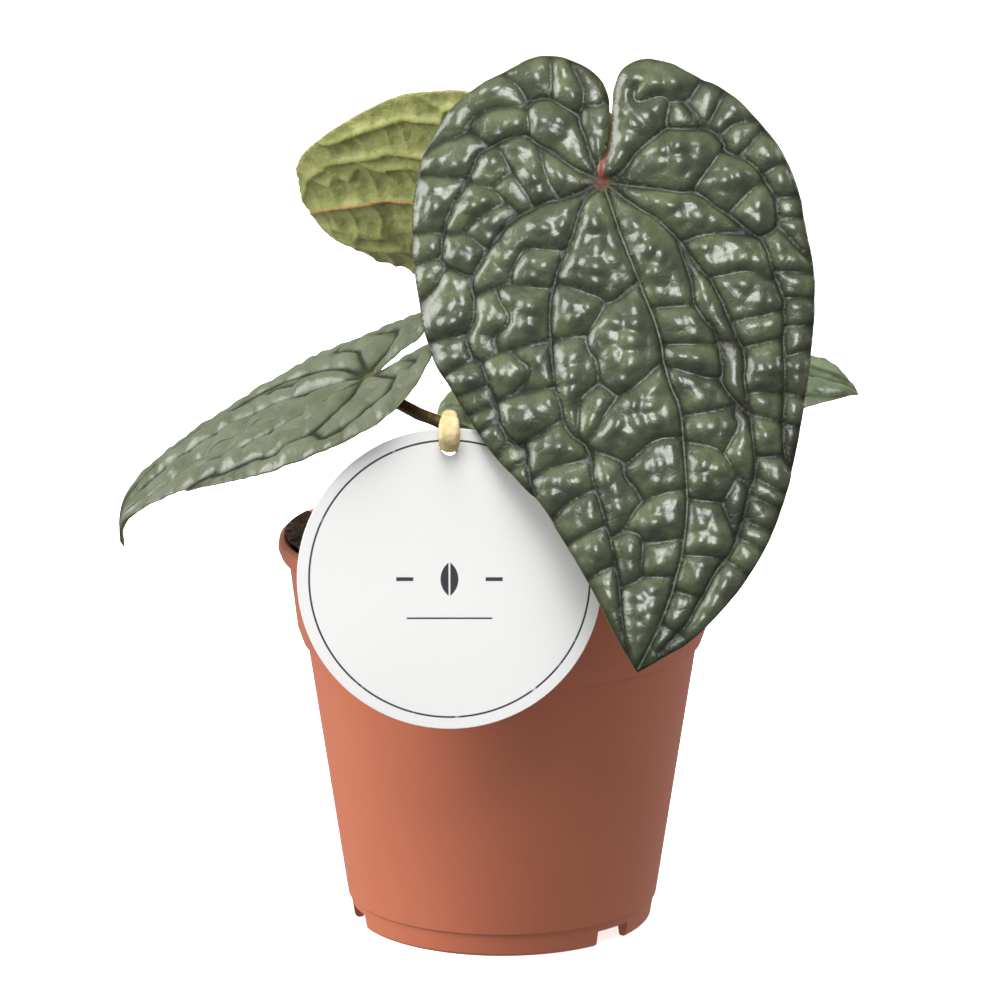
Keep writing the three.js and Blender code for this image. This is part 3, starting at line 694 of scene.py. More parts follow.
MAIN_VEINS = [
    [0, 0, 4, -11.5, 9, -24.5, 13, -35, 15.5, -46, 19, -56, 20.5, -66.5, 21.5, -79, 21, -90, 19, -100.5,
      16.5, -108.5, 13, -117, 9, -125],
    [0, 0, -3.5, -3.5, -7.5, -14, -11, -22, -13, -31, -13, -40.5, -12, -51, -10, -61, -4.5, -67.5,
      -2.5, -75.5, 0.5, -86, 3, -96, 4, -103, 5, -112.5, 7, -121],
    [0, 0, -6, -3, -13.5, -5, -21, -8.5, -27, -15, -31.5, -21.5, -33, -24, -32.5, -30, -34.5, -39,
      -30.5, -47, -27.5, -56, -25.5, -63, -23, -66.5, -20, -67.5, -18.5, -75.5, -17, -80.5],
    [0, 0, -6, 3, -12, 7.5, -19, 12, -28.5, 9.5, -32.5, 4.5, -34, 1, -38, -5, -40.5, -12.5, -41, -19,
      -37, -22.5, -33, -24],
    [0, 0, -2, 4.5, -4.5, 11, -6.5, 16.5, -13.5, 21.5, -20, 19.5],
    [0, 0, 6, -4.5, 12.5, -8.5, 18, -13.5, 22, -18.5, 27, -24.5, 31.5, -33.5, 35.5, -42, 36, -49.5,
      37.5, -59, 39, -71.5, 37.5, -79, 36, -86, 34, -92.5, 29.5, -99, 26, -105.5, 22.5, -112, 14, -121],
    [19, -14.5, 21.5, -22, 23, -30, 28, -37.5, 30, -45.5, 30, -50.5, 34.5, -57, 37.5, -60],
    [0, 0, 7, -1, 15, -2, 22.5, -2.5, 28.5, -6, 34.5, -10, 40, -14, 42.5, -19.5, 44.5, -25, 46.5, -30],
    [0, 0, 3.5, 1.5, 8.5, 7, 12, 10, 17, 14],
    [17, 14, 26, 14, 30, 11.5, 31, 9, 37, 6, 41, 2, 44, -3, 45, -9.5, 40, -14],
    [46.5, -30, 46.5, -45.5, 46, -62.5, 48, -74],
]
CROSS_VEINS = [
    [20.5, -66.5, 27.5, -68, 32.5, -73, 37.5, -79.5], [30.5, -82.5, 32, -87, 33.5, -92],
    [-34, 1, -46, 2.5], [-40.5, -12.5, -48.5, -12.5], [-41, -19, -48, -21], [-40, -22, -42, -26, -47, -30.5],
    [-34.5, -39, -44.5, -41], [-32, -45.5, -41, -50], [-29.5, -52.5, -37.5, -55], [-27, -57, -34.5, -60],
    [-26.5, -61.5, -31.5, -64.5], [-23, -66.5, -27, -70.5], [-19.5, -72, -23.5, -74],
    [-2.5, -79.5, -7, -81.5, -12.5, -87], [0.5, -88.5, -5.5, -91.5, -9, -93.5],
    [3, -98.5, -0.5, -100, -4, -103], [-20, 19.5, -20, 21.5, -21.5, 24.5, -24.5, 27, -26, 29],
    [-34.5, 14, -28.5, 9.5], [-19, 12, -19, 15, -20, 19.5], [-6.5, 16.5, -6, 22, -7, 25.5, -10, 31.5],
    [-20, 19.5, -26.5, 20, -31.5, 18.5, -34.5, 14, -40, 11.5, -45, 8],
    [-13.5, 21.5, -14, 27, -14.5, 32.5], [-6, 19.5, -3, 19.5, 0, 21.5], [-17, 10.5, -14.5, 2.5, -10.5, -4],
    [-34, 1, -28.5, -1.5, -21, -8.5], [-40.5, -12.5, -36, -13, -29, -17.5], [-27, 9.5, -22, 2, -17, -6.5],
    [-28.5, -1.5, -25, 1.5, -22, 2], [-36, -13, -31.5, -9, -25, -5.5],
    [-10, -17.5, -17.5, -17, -20.5, -19, -22.5, -22, -23, -26.5], [-12.5, -27.5, -23, -26.5, -32.5, -29.5],
    [-13, -41, -23, -43, -30.5, -46.5], [-11.5, -53, -18.5, -54, -27, -57],
    [-9.5, -61, -14.5, -64.5, -20, -67],
    [-4.5, -71.5, -11, -73, -17.5, -76.5], [-26.5, -28.5, -23.5, -34, -27, -38.5, -26, -44],
    [-23, -43.5, -18.5, -47.5, -23, -55], [-12, -25.5, -4.5, -28.5, 0.5, -31.5, 6.5, -28, 9, -24.5],
    [0.5, -31.5, -3.5, -39, -1.5, -45.5, -1, -51.5], [-3.5, -39.5, -13, -41], [-1, -51.5, 4.5, -55.5],
    [-1, -51.5, -5, -55, -6, -62.5, -4.5, -67.5], [15.5, -46, 11, -50.5, 4.5, -55.5, 0, -62.5, -4.5, -67.5],
    [-4.5, -68, 2.5, -71, 5.5, -73], [20.5, -65.5, 15, -66, 10, -69.5, 5.5, -73, 8.5, -79, 10.5, -82.5],
    [21.5, -79, 16, -80, 10.5, -82.5, 7, -87, 2.5, -91.5], [2.5, -91.5, 6.5, -90, 10, -92.5, 20.5, -91.5],
    [10, -92.5, 10, -102], [4.5, -104.5, 10, -102, 19, -101.5], [12.5, -32.5, 24, -32], [15, -42, 29.5, -42],
    [16, -47.5, 24.5, -50, 30, -50.5], [20, -60.5, 28.5, -59, 34.5, -57], [30, -41, 35, -42],
    [31, -70, 34, -64, 33.5, -61, 34.5, -57], [21.5, -81.5, 30.5, -82.5],
    [30.5, -82.5, 32.5, -78.5, 34.5, -76],
    [20.5, -96, 31, -96.5], [18, -105, 26, -107], [15, -113.5, 20.5, -117],
    [27, -24.5, 35, -23, 41.5, -25, 44, -23], [21, -15, 27, -13.5, 31, -13, 40, -14],
    [33, -36, 40, -34.5, 46.5, -32.5], [36, -42.5, 46, -40], [37, -54, 46.5, -54], [37.5, -59.5, 46, -62],
    [39, -70.5, 47, -70.5], [39, -76, 44.5, -79, 46.5, -79.5], [38, -81, 45.5, -84], [36, -87, 43.5, -90],
    [34.5, -91.5, 40.5, -94.5], [31, -97, 36.5, -100.5], [32.5, -7.5, 37, -2.5, 41.5, 0.5],
    [22.5, -2.5, 26, 2, 31, 8.5], [17, 14, 18, 21, 10.5, 20.5, 10, 24.5],
    [18, 21, 21.5, 21, 24.5, 24.5, 26, 26.5], [21.5, 21, 24.5, 17, 26, 14.5],
    [27, 14, 30, 20, 31.5, 23.5], [30.5, 12.5, 33, 15, 39, 16.5],
    [35, 7.5, 37.5, 9.5, 41, 14.5], [41, 2.5, 47.5, 6.5], [44.5, -3.5, 51, -3], [45, -9, 52, -8.5],
    [45, -11, 53, -19.5], [44, -22.5, 54, -23], [46.5, -29.5, 54, -29.5], [46.5, -37, 54, -36.5],
    [46, -45.5, 53, -42.5], [46.5, -54, 52, -55.5], [46, -62, 50.5, -63],
]
LEAF_TIP_SLANT = math.atan2(8.8, 126)
STALK_END = 0.5                   # the stalk's width where it meets the blade, of its width below


@dataclass(frozen=True)
class Quilting:
    """How the blade of one leaf stands up between its veins.

    The height is that of a sheet pushed up from below and held down along the veins. A hold is how
    firmly each kind of vein pins it, and reach is the size past which a cell's top goes flat.
    """

    height: float = 2.2
    reach: float = 5.0
    main_hold: float = 40.0
    cross_hold: float = 5.0
    fine_hold: float = 0.35
    margin_hold: float = 0.5
    unevenness: float = 0.35
    seed: int = 3


@dataclass
class LeafDrawing:
    """The flat leaf shared by all four: its outline, its net of veins and a raster of distances."""

    cell: float = 0.4
    low: tuple[float, float] = (-54.0, -130.0)
    high: tuple[float, float] = (58.0, 38.0)
    fine_cell: float = 5.2
    fine_shift: float = 0.42      # how far a fine cell's seed strays, in cells
    most_rounds: int = 600
    close_enough: float = 1e-8
    carried_cells: int = 6
    outline: np.ndarray = field(init=False)
    grid: np.ndarray = field(init=False)
    shape: tuple[int, int] = field(init=False)
    fields: dict[str, np.ndarray] = field(init=False)

    def __post_init__(self) -> None:
        """Measures the raster once for all leaves."""
        self.outline = self.ring(0.25)
        marks = [np.arange(a, b + self.cell / 2, self.cell) for a, b in zip(self.low, self.high)]
        x, y = np.meshgrid(*marks)
        self.shape = x.shape
        self.grid = np.column_stack([x.ravel(), y.ravel()])
        self.fields = {
            "inside": self.inside(self.grid, self.ring(1.0)),
            "vein": self.off(self.grid, MAIN_VEINS, 0.15),
            "net": self.off(self.grid, CROSS_VEINS, 0.15),
            "rim": nearest(self.grid, self.outline),
            "fine": self.fine_net(),
        }

    def ring(self, step: float) -> np.ndarray:
        """The outline as a loop of points this far apart, without a repeated end."""
        return np.vstack([through(run_of(edge), step)[:-1] for edge in (LEFT_EDGE, RIGHT_EDGE)])

    def off(self, points: np.ndarray, runs: list[list[float]], step: float = 0.1) -> np.ndarray:
        """The distance from each point to the nearest of these drawn veins."""
        return nearest(points, np.vstack([through(run_of(run), step) for run in runs]))

    def inside(self, points: np.ndarray, loop: np.ndarray) -> np.ndarray:
        """Which points lie within a closed loop, by counting its crossings to one side."""
        x, y = points.T
        within = np.zeros(len(points), bool)
        for (ax, ay), (bx, by) in zip(loop, np.roll(loop, -1, axis=0)):
            if ay != by:
                within ^= ((ay > y) != (by > y)) & (x < (bx - ax) * (y - ay) / (by - ay) + ax)
        return within

    def fine_net(self) -> np.ndarray:
        """The distance to the finest veins, the borders between seeded cells."""
        random = np.random.default_rng(11)
        marks = [np.arange(a, b, self.fine_cell) for a, b in zip(self.low, self.high)]
        x, y = (axis.ravel() for axis in np.meshgrid(*marks))
        stray = random.uniform(-self.fine_shift, self.fine_shift, (len(x), 2)) * self.fine_cell
        tree = kd_tree(np.column_stack([x, y]) + stray)
        pairs = np.array([[hit[2] for hit in tree.find_n((u, v, 0), 2)] for u, v in self.grid])
        return (pairs[:, 1] - pairs[:, 0]) / 2

    def quilt(self, quilting: Quilting) -> np.ndarray:
        """Solves the held sheet on the raster by conjugate gradients.

        Args:
            quilting: how this leaf's veins hold it.

        Returns:
            Heights on the raster, near 1 on its highest cells.
        """
        inside = self.fields["inside"].reshape(self.shape)
        east = (inside[:, 1:] & inside[:, :-1]) / self.cell**2
        north = (inside[1:] & inside[:-1]) / self.cell**2
        hold = np.full(len(self.grid), 1 / quilting.reach**2)
        for name, strength, width in (
                ("vein", quilting.main_hold, 0.4), ("net", quilting.cross_hold, 0.4),
                ("fine", quilting.fine_hold, 0.5), ("rim", quilting.margin_hold, 0.8)):
            hold += strength * np.exp(-(self.fields[name] / width)**2)
        push = 1 + quilting.unevenness * waves(self.grid, 9.0, quilting.seed).reshape(self.shape)
        push = np.where(inside, push, 0.0)
        weight = hold.reshape(self.shape)
        weight[:, 1:] += east
        weight[:, :-1] += east
        weight[1:] += north
        weight[:-1] += north

        def pull(sheet: np.ndarray) -> np.ndarray:
            """How hard the sheet and its veins pull back at each point."""
            back = weight * sheet
            back[:, 1:] -= east * sheet[:, :-1]
            back[:, :-1] -= east * sheet[:, 1:]
            back[1:] -= north * sheet[:-1]
            back[:-1] -= north * sheet[1:]
            return back

        sheet = np.zeros(self.shape)
        left = push.copy()
        eased = left / weight
        heading = eased.copy()
        energy = (left * eased).sum()
        for _ in range(self.most_rounds):
            drag = pull(heading)
            pace = energy / (heading * drag).sum()
            sheet += pace * heading
            left -= pace * drag
            eased = left / weight
            fresh = (left * eased).sum()
            if fresh < self.close_enough * (push * push / weight).sum():
                break
            heading = eased + fresh / energy * heading
            energy = fresh
        return self.carried_out(sheet / np.percentile(sheet[inside], 95), inside).ravel()

    def carried_out(self, sheet: np.ndarray, inside: np.ndarray) -> np.ndarray:
        """Carries heights a few cells past the outline, so that the margin reads no false edge."""
        sheet = np.where(inside, sheet, 0.0)
        known = inside.astype(float)
        for _ in range(self.carried_cells):
            total, count = sheet.copy(), known.copy()
            for axis, way in ((0, 1), (0, -1), (1, 1), (1, -1)):
                total += np.roll(sheet, way, axis)
                count += np.roll(known, way, axis)
            fresh = (known == 0) & (count > 0)
            sheet[fresh] = total[fresh] / count[fresh]
            known[fresh] = 1.0
        return sheet

    def sample(self, values: np.ndarray, points: np.ndarray) -> np.ndarray:
        """Reads a raster between its cells."""
        values = values.reshape(self.shape)
        spot = (points - np.array(self.low)) / self.cell
        column = np.clip(spot[:, 0].astype(int), 0, self.shape[1] - 2)
        row = np.clip(spot[:, 1].astype(int), 0, self.shape[0] - 2)
        u, v = spot[:, 0] - column, spot[:, 1] - row
        return ((1 - v) * ((1 - u) * values[row, column] + u * values[row, column + 1])
                + v * ((1 - u) * values[row + 1, column] + u * values[row + 1, column + 1]))

    def triangles(self, grain: float) -> tuple[np.ndarray, np.ndarray]:
        """Triangles that fill the outline, with edges along every vein.

        Args:
            grain: their rough size.

        Returns:
            Points as rows of x, y, and corner numbers counted anticlockwise.
        """
        ring = self.ring(grain)
        points = [ring]
        edges = []
        count = len(ring)
        for drawn in MAIN_VEINS + CROSS_VEINS:
            run = through(run_of(drawn), grain)
            run = run[self.inside(run, ring) & (nearest(run, self.outline) > 0.55 * grain)]
            edges += [(count + i, count + i + 1) for i in range(len(run) - 1)]
            points.append(run)
            count += len(run)
        rise = grain * math.sqrt(3) / 2
        x, y = np.meshgrid(*(np.arange(a, b, step) for a, b, step in zip(self.low, self.high, (grain, rise))))
        x = x + np.where(np.arange(len(x)) % 2, grain / 2, 0.0)[:, None]
        cells = np.column_stack([x.ravel(), y.ravel()])
        clear = self.inside(cells, ring)
        for name in ("vein", "net", "rim"):
            clear &= self.sample(self.fields[name], cells) > 0.62 * grain
        points.append(cells[clear])
        flat, faces = filled(np.vstack(points), edges, len(ring), 0.02)
        return flat, faces[self.inside(flat[faces].mean(axis=1), ring)]


def free_edges(faces: np.ndarray) -> list[tuple[int, int]]:
    """The edges that only one triangle has, in that triangle's order."""
    rim = {}
    for a, b, c in faces.tolist():
        for start, end in ((a, b), (b, c), (c, a)):
            if rim.pop((end, start), None) is None:
                rim[(start, end)] = True
    return list(rim)


def shell(upper: np.ndarray, lower: np.ndarray, faces: np.ndarray) -> tuple[np.ndarray, list]:
    """Closes two matching sheets of triangles into one thin solid.

    Args:
        upper: the points of the face that the triangles' order looks out of.
        lower: the points of the other face, in the same order.
        faces: the triangles of both.

    Returns:
        All points and faces: first the upper face, then the lower face, then the rim.
    """
    count = len(upper)
    rim = [(a, a + count, b + count, b) for a, b in free_edges(faces)]
    return np.vstack([upper, lower]), [*faces.tolist(), *(faces[:, ::-1] + count).tolist(), *rim]


@dataclass
class Leaf:
    """One leaf: a quilted blade on its stalk.

    turn is the heading of the tip from +X, dip how far it points down and roll the turn about the
    midrib, in degrees. bend, tip_bend and back_bend are curvatures along the midrib, arch is the
    curvature across it and fold its first angle, as on the solid leaf that this one stands for.
    """

    name: str
    joint: tuple[float, float, float]
    turn: float
    dip: float
    roll: float
    size: float
    width: float
    bend: float
    tip_bend: float
    bend_from: float
    back_bend: float
    arch: float
    fold: float
    spread: float
    mirror: int
    stalk_radius: float
    stalk: list[tuple[float, float, float]]
    quilting: Quilting
    upper_skin: LeafSkin
    under_skin: LeafSkin
    stalk_skin: StalkSkin
    slot: str
    slanted: bool = False
    grain: float = 0.72
    thickness: float = 0.55
    rim_thickness: float = 0.3
    thinning: float = 1.6         # how far inside the rim the blade is thinner
    vein_height: float = 0.3      # how far the veins stand out below
    vein_half: float = 0.7
    net_height: float = 0.1
    net_half: float = 0.5

    def frame(self) -> tuple[np.ndarray, np.ndarray, np.ndarray]:
        """The leaf's own directions: forward to the tip, across the blade and up from its face."""
        turn, dip, roll = (math.radians(angle) for angle in (self.turn, self.dip, self.roll))
        forward = np.array([math.cos(turn) * math.cos(dip), math.sin(turn) * math.cos(dip), -math.sin(dip)])
        level = np.array([-math.sin(turn), math.cos(turn), 0.0])
        above = np.cross(forward, level)
        across = level * math.cos(roll) + above * math.sin(roll)
        return forward, across, above * math.cos(roll) - level * math.sin(roll)

    def lay(self, flat: np.ndarray) -> np.ndarray:
        """Where points of the flat drawing lie on the bent leaf, before the quilting.

        Args:
            flat: rows of x, y on the drawing.

        Returns:
            Rows of x, y, z in millimetres round the pot's axis.
        """
        forward, across, above = self.frame()
        x, y = flat.T
        side = np.where(x > 0.2 * (y - 3.5), 1.0, -1.0)
        if not self.slanted:
            c, s = math.cos(LEAF_TIP_SLANT), math.sin(LEAF_TIP_SLANT)
            x, y = c * x + s * y, c * y - s * x
        lobe = np.clip((y - 4) / 26, 0, 1) * np.clip(1 - np.abs(x) / 45, 0, 1)
        wide = (x + side * self.spread * lobe) * self.size * self.width * self.mirror
        along = -y * self.size
        ahead, rise, turn = arc(np.minimum(along, self.bend_from),
                                np.where(along < 0, self.back_bend, self.bend), 0.0)
        more, higher, end = arc(np.maximum(along - self.bend_from, 0), np.full(len(x), self.tip_bend), turn)
        past = along > self.bend_from
        turn = np.where(past, end, turn)
        ahead, rise = ahead + np.where(past, more, 0), rise + np.where(past, higher, 0)
        out, lift, _ = arc(np.abs(wide), np.full(len(x), self.arch), self.fold)
        return (np.array(self.joint)
                + np.outer(np.sign(wide) * out, across)
                + np.outer(ahead + np.sin(turn) * lift, forward)
                + np.outer(rise + np.cos(turn) * lift, above))

    def normals(self, flat: np.ndarray) -> np.ndarray:
        """The direction out of the upper face at points of the flat drawing."""
        step = 0.4
        east = self.lay(flat + [step, 0]) - self.lay(flat - [step, 0])
        north = self.lay(flat + [0, step]) - self.lay(flat - [0, step])
        normal = np.cross(east, north) * self.mirror
        return normal / np.linalg.norm(normal, axis=1)[:, None]

    def build_blade(self, drawing: LeafDrawing) -> bpy.types.Object:
        """Makes the blade: two quilted faces, veins that stand out below, and a thin rim.

        Args:
            drawing: the shared flat leaf.

        Returns:
            The blade.
        """
        flat, faces = drawing.triangles(self.grain)
        vein, net = drawing.off(flat, MAIN_VEINS), drawing.off(flat, CROSS_VEINS)
        rim = nearest(flat, drawing.outline)
        swell = drawing.sample(drawing.quilt(self.quilting), flat)
        reach = np.linalg.norm(flat, axis=1)
        taper = np.clip(1.3 - 0.8 * reach / 130, 0.4, 1.3)
        vein, net = vein * self.size / taper, net * self.size
        middle = self.lay(flat)
        normal = self.normals(flat)
        midrib = drawing.off(flat, MAIN_VEINS[:1]) * self.size
        ripple = 0.05 * waves(flat, 2.6, 5) + 0.12 * waves(flat, 6.0, 6)
        thick = self.rim_thickness + (self.thickness - self.rim_thickness) * ease(rim, 0.0, self.thinning)
        high = swell * self.quilting.height + ripple
        top = high + thick / 2
        ridge = (self.vein_height * taper * np.exp(-(vein / self.vein_half)**2)
                 + self.net_height * np.exp(-(net / self.net_half)**2))
        low = high - thick / 2 - ridge * ease(rim, 0.0, 2.0)
        if self.mirror < 0:
            faces = faces[:, ::-1]
        points, corners = shell(middle + normal * top[:, None], middle + normal * low[:, None], faces)
        blade = mesh_object(f"{self.name}_quilted", place(points), corners)
        twice = {"flat": np.column_stack([flat * self.size, np.zeros(len(flat))]), "vein": vein, "net": net,
                 "rim": rim * self.size, "swell": swell, "midrib": midrib}
        keep_values(blade, {key: np.concatenate([value, value]) for key, value in twice.items()})
        under = np.zeros(len(corners), int)
        under[len(faces):2 * len(faces)] = 1
        blade.data.polygons.foreach_set("material_index", under)
        return blade

    def stalk_path(self) -> np.ndarray:
        """The stalk's middle line, from under the soil to the blade's underside."""
        joint = self.lay(np.zeros((1, 2)))[0]
        normal = self.normals(np.zeros((1, 2)))[0]
        ahead = joint - self.stalk[-1]
        slope = np.linalg.norm(np.cross(ahead / np.linalg.norm(ahead), normal))
        end = joint - normal * (self.thickness / 2 + self.stalk_radius * STALK_END * slope)
        return through(np.array([*self.stalk, tuple(end)]), 1.2, even=False)

    def build_stalk(self) -> bpy.types.Object:
        """Sweeps the stalk: thicker in the crown, slim above, with a swollen knee under the blade."""
        sizes = {
            "Radius": self.stalk_radius * MM, "Base Swell": 0.35, "Base Length": 22 * MM,
            "Knee Swell": 0.3, "Knee Place": 5 * MM, "Knee Half": 6 * MM,
            "End Length": 3 * MM, "End Share": STALK_END, "Sides": 20}
        tree, size = geometry_tree(f"{self.name}_stalk", sizes)
        along = add_node(tree, "SplineParameter").outputs["Length"]
        whole = add_node(tree, "SplineLength").outputs["Length"]
        below = add_node(tree, "Math", operation="SUBTRACT", Value=whole, Value_001=along)
        depth = add_node(tree, "Math", operation="MULTIPLY", Value=below, Value_001=1 / MM)
        marked = add_node(tree, "StoreNamedAttribute", data_type="FLOAT", domain="POINT",
                          Geometry=size["Geometry"], Name="below_blade", Value=depth)
        off = add_node(tree, "Math", operation="SUBTRACT", Value=below, Value_001=size["Knee Place"])
        off = add_node(tree, "Math", operation="ABSOLUTE", Value=off)
        base, knee = (add_node(tree, "Math", Value=1.0, Value_001=size[f"{part} Swell"])
                      for part in ("Base", "Knee"))
        width = size["Radius"]
        for away, reach, share, change in (
                (along, "Base Length", base, "LINEAR"), (off, "Knee Half", knee, "SMOOTHSTEP"),
                (below, "End Length", size["End Share"], "SMOOTHSTEP")):
            part = add_node(tree, "MapRange", interpolation_type=change, Value=away, From_Min=0.0,
                            From_Max=size[reach], To_Min=share, To_Max=1.0)
            width = add_node(tree, "Math", operation="MULTIPLY", Value=width, Value_001=part)
        ring = add_node(tree, "CurvePrimitiveCircle", Resolution=size["Sides"], Radius=1.0)
        rod = add_node(tree, "CurveToMesh", Curve=marked, Profile_Curve=ring, Scale=width, Fill_Caps=True)
        source = path_object(f"{self.name}_path", place(self.stalk_path()))
        return grow(f"{self.name}_petiole", source, tree, roughened(tree, rod, 3.5, 0.12, 2.0),
                    self.stalk_skin.material(), sizes)

    def dress(self, blade: bpy.types.Object) -> None:
        """Gives the blade its upper and under skins."""
        for skin in (self.upper_skin, self.under_skin):
            blade.data.materials.append(skin.material())

    def build(self, drawing: LeafDrawing) -> None:
        """Makes the whole leaf and hands it to the frame."""
        blade = self.build_blade(drawing)
        self.dress(blade)
        settle(blade, self.slot, f"{self.name}_blade")
        settle(self.build_stalk(), "leaf_stalk", f"{self.name}_stalk")


def arc(length: np.ndarray, curvature: np.ndarray | float,
        start: np.ndarray | float) -> tuple[np.ndarray, np.ndarray, np.ndarray]:
    """Points bent along arcs.

    Args:
        length: how far along the arc each lies.
        curvature: of each arc.
        start: each arc's first angle.

    Returns:
        How far forward and how far up each point lies, and the arc's turn there.
    """
    curvature = np.where(np.abs(curvature) < 1e-6, 1e-6, curvature)
    end = start + curvature * length
    return (np.sin(end) - np.sin(start)) / curvature, (np.cos(end) - np.cos(start)) / curvature, end


@dataclass
class NurseryPot:
    """The moulded pot: a tapered wall with a collar and a rolled rim, on a notched foot ring."""

    height: float = 106.0
    rim_radius: float = 60.0
    foot_radius: float = 40.3
    wall: float = 1.0
    floor_underside: float = 4.6
    floor_thickness: float = 1.6
    step_height: float = 6.6
    collar_bottom: float = 76.5
    notch_size: tuple[float, float, float] = (12.0, 11.7, 8.6)
    notch_count: int = 3
    notch_turn: float = -43.0
    drain_radius: float = 3.2
    drain_count: int = 6
    drain_circle: float = 26.0
    fillet: float = 0.55
    sides: int = 240
    turning_radius: float = 30.0
    plastic: PotPlastic = PotPlastic()

    def profile(self) -> list[tuple[float, float]]:
        """Half of the pot's section as radius, height pairs, from its underside round to its floor."""
        lip, collar, floor = self.height, self.collar_bottom, self.floor_underside + self.floor_thickness
        return [
            (0, self.floor_underside), (37, self.floor_underside), (38, 0), (self.foot_radius - 0.7, 0),
            (self.foot_radius, 0.7), (41.2, self.step_height - 0.4), (41.8, self.step_height),
            (52.3, collar), (53.5, collar + 0.7), (55, collar + 5), (57.2, lip - 6.4), (59.2, lip - 5.2),
            (self.rim_radius, lip - 3.2), (self.rim_radius - 0.3, lip - 0.9), (self.rim_radius - 1.5, lip),
            (57.1, lip - 0.9), (56.2, lip - 5), (54, collar + 5), (52.3 - self.wall, collar),
            (41.8 - self.wall, floor), (0, floor),
        ]

    def build(self) -> None:
        """Turns the profile about the axis, cuts notches and drain holes, and hands the pot over."""
        sizes = {
            "Turning Radius": self.turning_radius * MM, "Sides": self.sides, "Fillet": self.fillet * MM,
            "Notch Size": Vector(self.notch_size) * MM, "Notch Count": self.notch_count,
            "Notch Turn": math.radians(self.notch_turn), "Foot Radius": self.foot_radius * MM,
            "Drain Radius": self.drain_radius * MM, "Drain Count": self.drain_count,
            "Drain Circle": self.drain_circle * MM, "Axis": Vector(AXIS) * MM}
        tree, size = geometry_tree("nursery_pot", sizes)
        rounded = add_node(tree, "FilletCurve", mode="POLY", Curve=size["Geometry"], Count=4,
                           Radius=size["Fillet"], Limit_Radius=True)
        wheel = add_node(tree, "CurvePrimitiveCircle", Resolution=size["Sides"],
                         Radius=size["Turning Radius"])
        wall = add_node(tree, "CurveToMesh", Curve=wheel, Profile_Curve=rounded)
        pot = add_node(tree, "MergeByDistance", Geometry=wall, Distance=0.01 * MM)
        index = add_node(tree, "InputIndex")
        block = add_node(tree, "MeshCube", Size=size["Notch Size"])
        drill = add_node(tree, "MeshCylinder", Vertices=32, Radius=size["Drain Radius"], Depth=20 * MM)
        cutters = []
        for shape, count, circle in (
                (block, size["Notch Count"], size["Foot Radius"]),
                (drill, size["Drain Count"], size["Drain Circle"])):
            share = add_node(tree, "Math", operation="DIVIDE", Value=math.tau, Value_001=count)
            angle = add_node(tree, "Math", operation="MULTIPLY", Value=index, Value_001=share)
            facing = add_node(tree, "CombineXYZ", Z=angle)
            stations = add_node(tree, "MeshCircle", Vertices=count, Radius=circle)
            cutters.append(add_node(tree, "InstanceOnPoints", Points=stations, Instance=shape,
                                    Rotation=facing))
        turn = add_node(tree, "CombineXYZ", Z=size["Notch Turn"])
        cutters[0] = add_node(tree, "Transform", Geometry=cutters[0], Rotation=turn)
        for cutter in cutters:
            pot = add_node(tree, "MeshBoolean", operation="DIFFERENCE", solver="EXACT", Mesh_1=pot,
                           Mesh_2=cutter)
        smooth = add_node(tree, "SetShadeSmooth", Geometry=pot)
        stood = add_node(tree, "Transform", Geometry=smooth, Translation=size["Axis"])
        turned = [(radius - self.turning_radius, -height, 0.0) for radius, height in self.profile()]
        source = path_object("pot_profile", np.array(turned[::-1]) * MM)
        made = grow("nursery_pot", source, tree, stood, self.plastic.material(), sizes, crisp=35)
        settle(made, "pot_plastic", "pot")


def ring_faces(rings: int, sides: int, base: int = 0) -> list[tuple[int, ...]]:
    """The faces of a stack of rings of points with one more point at either end.

    Args:
        rings: how many rings.
        sides: how many points each has.
        base: the number of the first end point, which the rings follow.

    Returns:
        The corner numbers of each face.
    """
    faces = []
    end = base + 1 + rings * sides
    for k in range(sides):
        n = (k + 1) % sides
        faces.append((base, base + 1 + n, base + 1 + k))
        for here in range(base + 1, end - sides, sides):
            there = here + sides
            faces.append((here + k, here + n, there + n, there + k))
        faces.append((end, end - sides + k, end - sides + n))
    return faces


class Litter(Enum):
    """What lies scattered over the soil, by the name of its piece."""

    CRUMBS = "soil_crumbs"
    FIBRES = "soil_fibres"


